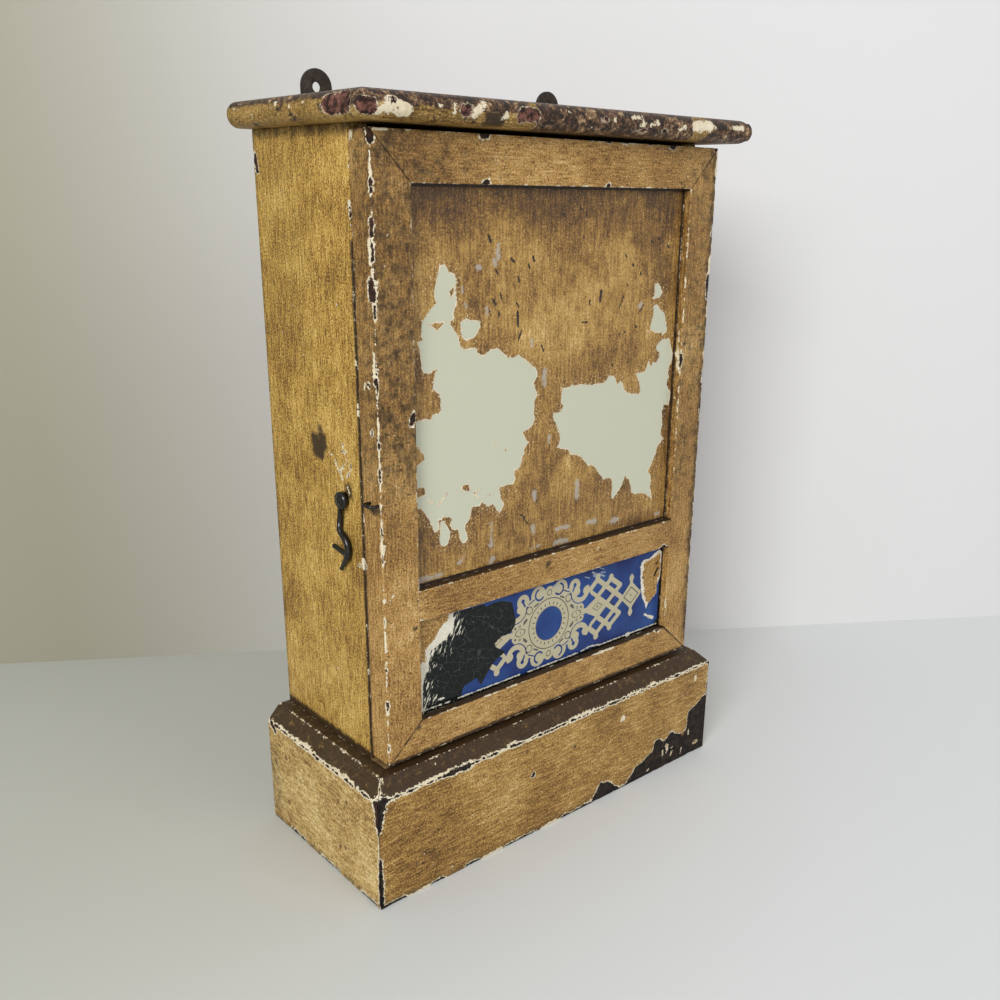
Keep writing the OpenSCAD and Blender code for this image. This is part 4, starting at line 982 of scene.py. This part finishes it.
# Glossy grey-green opal glass, and over it a skin of dry ochre paint with a crumbly cream edge
mm = add(tree, "Mapping", {"Vector": place, "Scale": TO_MM})
upright = add(tree, "Mapping", {"Vector": place, "Scale": (1000, 1000, 90)})
clouds, mottle, strokes, crumbs, grit, specks = [
    add(tree, "TexNoise", {"Vector": at, "Scale": scale, "Detail": detail, "Roughness": rough})
    for at, scale, detail, rough in (
        (mm, 0.018, 5, 0.6), (mm, 0.16, 5, 0.7), (upright, 0.6, 5, 0.75), (mm, 0.5, 5, 0.7),
        (mm, 0.7, 3, 0.7), (mm, 0.7, 3, 0.6))]
bare_at, slit_at, haze_at, faded_at = [add(tree, "Attribute", output=2, attribute_name=word)
                                       for word in ("bare", "slit", "haze", "faded")]
depth = -1.88
for layer, amount in ((clouds, 1.3), (mottle, 0.7), (strokes, 1.2), (grit, 1.4), (faded_at, 1)):
    depth = add(tree, "Math", {0: layer, 1: amount, 2: depth}, **TIMES_PLUS)
colour = add(tree, "ValToRGB", {0: depth}, stops=(
    (0.0, "#402910"), (0.28, "#745223"), (0.5, "#9e793b"), (0.72, "#b8924e"), (1.0, "#dbc084")))
for layer, amount in ((mottle, 7.0), (crumbs, 5.0)):
    haze_at = add(tree, "Math", {0: layer, 1: amount, 2: haze_at}, **TIMES_PLUS)
hazy = add(tree, "MapRange", {0: haze_at, 1: 4.8, 2: 6.4, 3: 0.8, 4: 0}, **SMOOTH)
edge = add(tree, "Math", {0: add(tree, "Math", {0: crumbs, 1: 3.2, 2: -1.6}, **TIMES_PLUS), 1: bare_at})
near = add(tree, "MapRange", {0: edge, 1: 0, 2: 12, 3: 0.61, 4: 0.72})
speck = add(tree, "Math", {0: specks, 1: near}, operation="GREATER_THAN")
pale = add(tree, "Mix", {0: mottle, 6: linear("#c9b48c"), 7: linear("#efe6cd")}, 2, **COLOURS)
slit_at = add(tree, "Math", {0: crumbs, 1: 2.4, 2: slit_at}, **TIMES_PLUS)
gone = add(tree, "MapRange", {0: slit_at, 1: 1.0, 2: 1.35, 3: 1, 4: 0}, **SMOOTH)
painted = add(tree, "MapRange", {0: edge, 1: -0.08, 2: 0.08}, **SMOOTH)
rim = add(tree, "Math", {0: mottle, 1: -2.4, 2: edge}, **TIMES_PLUS)
rim = add(tree, "MapRange", {0: rim, 1: -0.7, 2: -0.3}, **SMOOTH)
# The dark colour fills the slits where the paint has gone, and paints the shadow of the frame's lip along the
# pane's edges
for share, over in ((hazy, linear("#aea596")), (speck, pale), (gone, linear("#2a1c12"))):
    colour = add(tree, "Mix", {0: share, 6: colour, 7: over}, 2, **COLOURS)
for share, below in ((rim, pale), (painted, linear("#c3c4ac"))):
    colour = add(tree, "Mix", {0: share, 6: below, 7: colour}, 2, **COLOURS)
gloss = add(tree, "MapRange", {0: painted, 1: 0, 2: 1, 3: 0.07, 4: 0.5})
height = rim
for layer, amount in ((strokes, 0.5), (crumbs, 0.5), (gone, -1)):
    height = add(tree, "Math", {0: layer, 1: amount, 2: height}, **TIMES_PLUS)
height = add(tree, "Math", {0: height, 1: painted}, operation="MULTIPLY")
bump = add(tree, "Bump", {"Height": height, "Distance": 0.0003, "Strength": 0.8})
surface = add(tree, "BsdfPrincipled", {
    "Base Color": colour, "Roughness": gloss, "Specular IOR Level": 0.5, "Normal": bump})
add(tree, "OutputMaterial", {"Surface": surface})
piece = finish_piece("upper_pane", upper, "door", ["glass_upper"], opal)
piece.data.shade_flat()
store(piece, bare=np.where(behind, -9, bare), faded=faded, slit=gap_to_lines(flat, slits),
      haze=gap_to_lines(flat, smudges))

# Lower glass
# A narrow sheet of glass carries a cream ornament on blue, with a medallion in the middle and a
# laced square on each side. The blue has gone from the left, and ochre clings to the right end.
lower, flat, behind = pane("glass_lower", 0.5)
pane_foot = 122
medallion = np.array((-1.2, 160.8))
folded = np.abs(flat - medallion)  # the ornament is drawn once, for all four quarters


def disc(place, radius, points=folded):
    """How far each point is outside a disc"""
    return np.linalg.norm(points - np.array(place), axis=1) - radius


def ring(place, radius, half):
    """How far each point is outside a drawn circle"""
    return np.abs(disc(place, radius)) - half


def arc(place, radius, half, first, last):
    """How far each point is outside a bent bar with round ends, its angles in degrees"""
    off = folded - np.array(place, float)
    around = np.degrees(np.arctan2(off[:, 1], off[:, 0]))
    within = ((around - first) % 360) <= last - first
    ends = [np.linalg.norm(off - radius * np.array((math.cos(a), math.sin(a))), axis=1)
            for a in np.radians([first, last])]
    return np.where(within, np.abs(disc(place, radius)), np.minimum(*ends)) - half


def bar(p, q, half):
    """How far each point is outside a straight bar with round ends"""
    return gap_to_line(folded, p, q) - half


def diamond(place, across, up):
    """How far each point is outside a diamond of those half diagonals"""
    off = np.abs(folded - np.array(place))
    return (off[:, 0] / across + off[:, 1] / up - 1) * across * up / math.hypot(across, up)


body = gap_to_outline(folded, [
    (-1, -1), (39, -1), (37.5, 3.6), (35, 7.4), (29, 8.2), (25.5, 10.5), (23, 14), (22.3, 17.5), (19, 21),
    (10, 24), (-1, 25)])
cream = np.minimum.reduce([
    body, disc((11.2, 25.2), 7.2), disc((26.2, 23.7), 5.8), bar((12, 22), (24, 21), 1.8),
    disc((0, 25.5), 4.6), arc((32.7, 18), 7.4, 2.1, 178, 368), disc((28.8, 18.4), 3.3),
    disc((38.8, 17.2), 3.4), bar((42.2, 15.4), (51.2, 23.2), 2.1), bar((51.2, 22.9), (80.2, 0), 2.0),
    bar((42.2, 15.2), (61.6, 0), 2.0), bar((61.6, 0), (77.2, 12.2), 2.0),
    bar((77.2, 12.2), (66.2, 20.2), 2.0), bar((66.2, 20.2), (53.2, 9.9), 2.0),
    gap_to_outline(folded, [(36, -1), (38, 1.5), (51.2, 8.8), (62, 0), (62, -1)]), disc((51.2, 25.4), 2.7),
    disc((66.2, 21.6), 2.6), diamond((90.2, 0), 12.3, 12), bar((90.2, 10), (90.2, 15), 1.6),
    disc((90.2, 14.9), 2.6), disc((90.2, 17.2), 1.2)])
hole = np.minimum.reduce([
    disc((0, 0), 13.3),
    gap_to_outline(folded, [(36, 2.3), (39.2, 2.8), (49.5, 8.2), (44.7, 11.7), (42.6, 14.5), (39.4, 8.7)]),
    arc((9.8, 25.5), 4.3, 0.8, -140, 70), bar((24.4, 20.0), (26.2, 23.6), 0.8), disc((26.4, 24.4), 1.7),
    arc((32.7, 18.2), 10.2, 0.35, 178, 340), bar((15, 22.8), (20.6, 20.4), 0.5)])
hole = np.maximum(hole, 2.2 - np.linalg.norm(folded - (43, 8), axis=1))
cream = np.maximum(cream, -hole)
around = np.degrees(np.arctan2(folded[:, 1], folded[:, 0]))
tick = np.abs((around + 7.5) % 15 - 7.5) * math.pi / 180 * 15.8
ticks = np.maximum(tick - 0.45, ring((0, 0), 16, 1.2))
line = np.minimum.reduce([
    ticks, ring((0, 0), 20.2, 0.4), ring((0, 0), 13.5, 0.25),
    np.abs(np.linalg.norm((folded - (28.7, 0)) / (1, 0.6), axis=1) - 4.6) - 0.45,
    bar((28.7, 0), (28.7, 1.2), 0.3), ring((29.2, 5.2), 0.9, 0.3),
    gap_to_outline(folded, [(21.4, 8.6), (23, 6.8), (26, 4.6), (25.6, 7.6), (22.6, 10)]),
    disc((33.6, 4.5), 1.0), ring((19.9, 15.4), 2.9, 0.4), bar((11.4, 18.9), (15, 17.2), 0.7),
    np.abs(diamond((90.2, 0), 8.3, 7)) - 0.45, disc((90.2, 0), 0.8), bar((68, 2.0), (70.6, 3.4), 0.6),
    bar((66.4, 0), (67.8, 0.6), 0.5), disc((74.6, 0), 0.6), ring((0, 25), 2.2, 0.35),
    np.abs(diamond((51.8, 0), 5.2, 3.4)) - 0.3, disc((51.8, 0), 0.8)])


def area(x, points):
    """How far each place is outside an outline that is counted from x and the pane's foot"""
    return gap_to_outline(flat, counted_from(x, pane_foot, points))


def strips(z, rows):
    """How far each place is outside the nearest of some lines that are counted from a height"""
    return gap_to_lines(flat, flat_lines((0, z, rows)))


missing = area(-126, [
    (34.5, 71), (61, 71), (63, 69), (66, 68.5), (70, 69.5), (78, 69), (84, 67), (88, 65), (89, 61),
    (90, 57), (91.5, 53), (91.5, 49), (90, 45), (87, 42), (83, 41), (78, 41), (75, 39.5), (71.5, 37),
    (73, 34), (76, 32), (79, 30), (82.5, 28.5), (78, 26), (73, 24), (69, 21), (66, 17.5), (61, 11),
    (59, 8.5), (57, 11), (55, 15), (48, 13.5), (43, 12), (40, 3), (-6, 2), (-6, 80), (34.5, 80)])
clinging = area(0, [
    (99, 60), (100, 64), (103, 66), (109, 65.5), (113, 67.5), (118, 70), (122, 71), (124, 68), (124, 50),
    (123, 45), (120, 40), (120, 33), (116, 30), (110, 25.5), (108, 21), (106.5, 27), (103, 33), (101, 40),
    (100, 50)])
flaking = area(-126, [
    (-6, 80), (33, 80), (34.5, 68), (35, 60), (27, 53.5), (19, 50), (14.5, 48), (13, 40), (10, 32), (7.5, 24),
    (7, 6), (-6, 5)])
clinging = np.minimum.reduce([clinging, flaking, strips(pane_foot, [
    (107, 17, 112, 14, 0.8), (112, 14, 117, 11.5, 1.3), (86, 4.4, 88.5, 4.6, 1.6), (-105, 9, -101, 9, 0.8)])])
ochre = np.minimum(area(0, [
    (103.5, 63), (110, 64), (118, 66), (122.5, 67), (122, 50), (119.5, 44), (119.5, 33.5), (110.5, 26.5),
    (106, 34), (104, 45), (103, 55)]), area(-126, [
        (-6, 80), (28, 80), (30, 70), (24, 64), (17, 56), (10, 50), (9, 42), (-6, 40)]))
# Grey scratches across the bare black, and white scratches near the top of the blue that also stand as
# painted glints
scuffs = strips(pane_foot, [
    (-80, 40, -89, 30, -0.15), (-80, 40, -95, 46, -0.15), (-51, 64, -46, 56, -0.15),
    (-66, 58, -46, 43, -0.15), (-90, 62, -76, 45, -0.15), (-86, 34, -60, 28, -0.15),
    (-72, 60, -60, 66, -0.15), (-100, 44, -84, 38, -0.15), (-74, 22, -66, 34, -0.15),
    (-64, 50, -52, 52, -0.15), (44, 69, 48, 66.5, 0.8), (45, 66, 50, 64, 0.6), (51, 66, 57, 63, 0.7),
    (53, 67, 58, 66, 0.4), (36, 67, 41, 65, 0.35), (3, 68, 9, 66, 0.7), (52, 71, 56, 69, 0.3)])
gone_through = strips(pane_foot, [
    (116.5, 49.5, 120, 55, 1.1), (102.5, 50.5, 102.5, 51, 0.9), (118, 59, 120, 61, 0.8)])
# The blue has gone along the frame's lip too, at the foot, at the top and down the right end
gone_foot, gone_top, gone_end = 2.1, 1.2, 1.8
missing = np.minimum.reduce([
    missing, gone_through, flat[:, 1] - lower_low - gone_foot,
    strips(lower_high, [(-126, 0, 126, 0, gone_top)]),
    np.abs(flat[:, 0] - light_half) - gone_end, disc((125, 126), 6, flat)])
clinging = np.minimum(np.maximum(clinging, -gone_through), strips(0, [
    (-124, 127.0, -96, 126.4, 0.45), (-88, 126.6, -30, 126.8, 0.45), (-22, 126.6, 30, 126.7, 0.45),
    (34, 127, 44, 128.4, 0.45), (44, 128.4, 56, 126.6, 0.45), (56, 126.6, 122, 126.9, 0.45)]))

tile, tree, place = new_material("reverse_painted_glass")
# Glossy glass over a flat cream pattern on ultramarine, with near-black where the blue has gone
mm = add(tree, "Mapping", {"Vector": place, "Scale": TO_MM})
leaning = add(tree, "Mapping", {"Vector": place, "Rotation": (0, 0.42, 0), "Scale": (0.001, 0.001, 0.0045)},
              vector_type="TEXTURE")
clouds, mottle, crumbs, streaks = [
    add(tree, "TexNoise", {"Vector": at, "Scale": scale, "Detail": detail, "Roughness": rough})
    for at, scale, detail, rough in (
        (mm, 0.03, 3, 0.5), (mm, 0.35, 5, 0.7), (mm, 0.8, 4, 0.7), (leaning, 0.55, 4, 0.65))]
ivory, night, skin = [
    add(tree, "Mix", {0: mottle, 6: linear(dark), 7: linear(light)}, 2, **COLOURS)
    for dark, light in (("#a89f80", "#c6bd9e"), ("#050706", "#161b1a"), ("#c0b799", "#f4f0e2"))]
# Noise moves the edge of each area by a mm or so, and its share falls to nought over a short step
shares = {}
for word, layer, amount, full, nought, most in (
        ("cream", crumbs, 0.5, 0.15, 0.4, 1), ("line", crumbs, 0, -0.12, 0.12, 0.85),
        ("missing", crumbs, 1.6, 0.65, 0.85, 1), ("scuff", crumbs, 1.6, 0.7, 1.1, 0.7),
        ("clinging", crumbs, 3.6, 1.8, 2.0, 1), ("ochre", mottle, 9.0, 5.0, 5.3, 1)):
    gap = add(tree, "Attribute", output=2, attribute_name=word)
    gap = add(tree, "Math", {0: layer, 1: amount, 2: gap}, **TIMES_PLUS)
    shares[word] = add(tree, "MapRange", {0: gap, 1: full, 2: nought, 3: most, 4: 0}, **SMOOTH)
net = add(tree, "TexVoronoi", {"Vector": mm, "Scale": 0.16}, feature="DISTANCE_TO_EDGE")
net = add(tree, "Math", {0: mottle, 1: 0.12, 2: net}, **TIMES_PLUS)
net = add(tree, "MapRange", {0: net, 1: 0.05, 2: 0.085, 3: 0.45, 4: 0}, **SMOOTH)
net = add(tree, "Math", {0: net, 1: shares["missing"]}, operation="MULTIPLY")
flake = add(tree, "Attribute", output=2, attribute_name="flaking")
flake = add(tree, "Math", {0: flake, 1: -0.0105, 2: streaks}, **TIMES_PLUS)
flake = add(tree, "MapRange", {0: flake, 1: 0.5, 2: 0.54}, **SMOOTH)
covered = add(tree, "Math", {0: shares["clinging"], 1: flake}, operation="MAXIMUM")
brushed = add(tree, "ValToRGB", {0: crumbs}, stops=(
    (0.34, "#5f4120"), (0.45, "#96713c"), (0.56, "#b18b50"), (0.7, "#d6bd88")))
skin = add(tree, "Mix", {0: shares["ochre"], 6: skin, 7: brushed}, 2, **COLOURS)
shift = add(tree, "MapRange", {0: clouds, 1: 0.35, 2: 0.65})
colour = add(tree, "Mix", {0: shift, 6: linear("#1a2c63"), 7: linear("#274a86")}, 2, **COLOURS)
# The pale grey colour draws the scratches and the painted glints
for share, over in ((shares["cream"], ivory), (shares["line"], linear("#2b2a3a")), (shares["missing"], night),
                    (net, linear("#66706c")), (shares["scuff"], linear("#a4adac")), (covered, skin)):
    colour = add(tree, "Mix", {0: share, 6: colour, 7: over}, 2, **COLOURS)
gloss = add(tree, "MapRange", {0: covered, 1: 0, 2: 1, 3: 0.09, 4: 0.5})
bump = add(tree, "Bump", {"Height": covered, "Distance": 0.0004, "Strength": 0.8})
surface = add(tree, "BsdfPrincipled", {
    "Base Color": colour, "Roughness": gloss, "Specular IOR Level": 0.22, "Normal": bump})
add(tree, "OutputMaterial", {"Surface": surface})
piece = finish_piece("lower_pane", lower, "door", ["glass_lower"], tile)
piece.data.shade_flat()
store(piece, cream=cream, line=line, ochre=ochre, scuff=scuffs, missing=np.where(behind, -9, missing),
      clinging=np.where(behind, 9, clinging), flaking=np.where(behind, 99, flaking))

# Backing boards and hinges
# A thin softwood board behind each glass is held by brads. Two brass butt hinges, dulled brown,
# join the door to the right side board with slotted screws.
dress(pine_tall, "backing_upper")
dress(pine_wide, "backing_lower")
aged_brass = old_iron("dull_aged_brass", "#7a5f33", "#4e3c22", "#a78a52", mottle=0.5, rough=0.42, metal=0.85)
dress(aged_brass, "hinge_upper_frame_leaf", "hinge_lower_frame_leaf", "hinge_upper_door_leaf",
      "hinge_lower_door_leaf", "hinge_pins")

# Hook, its screw and staple
# The hook is bent from round iron, with a flattened eye that turns on a screw in the side board.
# The staple is bent wire driven into the door's edge. Both are japanned black, and rubbed glossy.
eye_face = -157.2
flatter_head = 0.45
black_iron = old_iron("rubbed_black_iron", "#0d0b0a", "#1d1511", "#3a3029", mottle=0.3, rough=0.2, metal=0.1,
                      pitted=0.12)
for name, body in (("hook", "hook"), ("hook_screw", "cabinet"), ("staple", "door")):
    iron = copy_of(name, angle=0.001)
    if name == "hook_screw":
        for vert in iron.verts:
            if vert.co.x < eye_face:
                vert.co.x = eye_face + (vert.co.x - eye_face) * flatter_head
    finish_piece("black_" + name, iron, body, [name], black_iron)
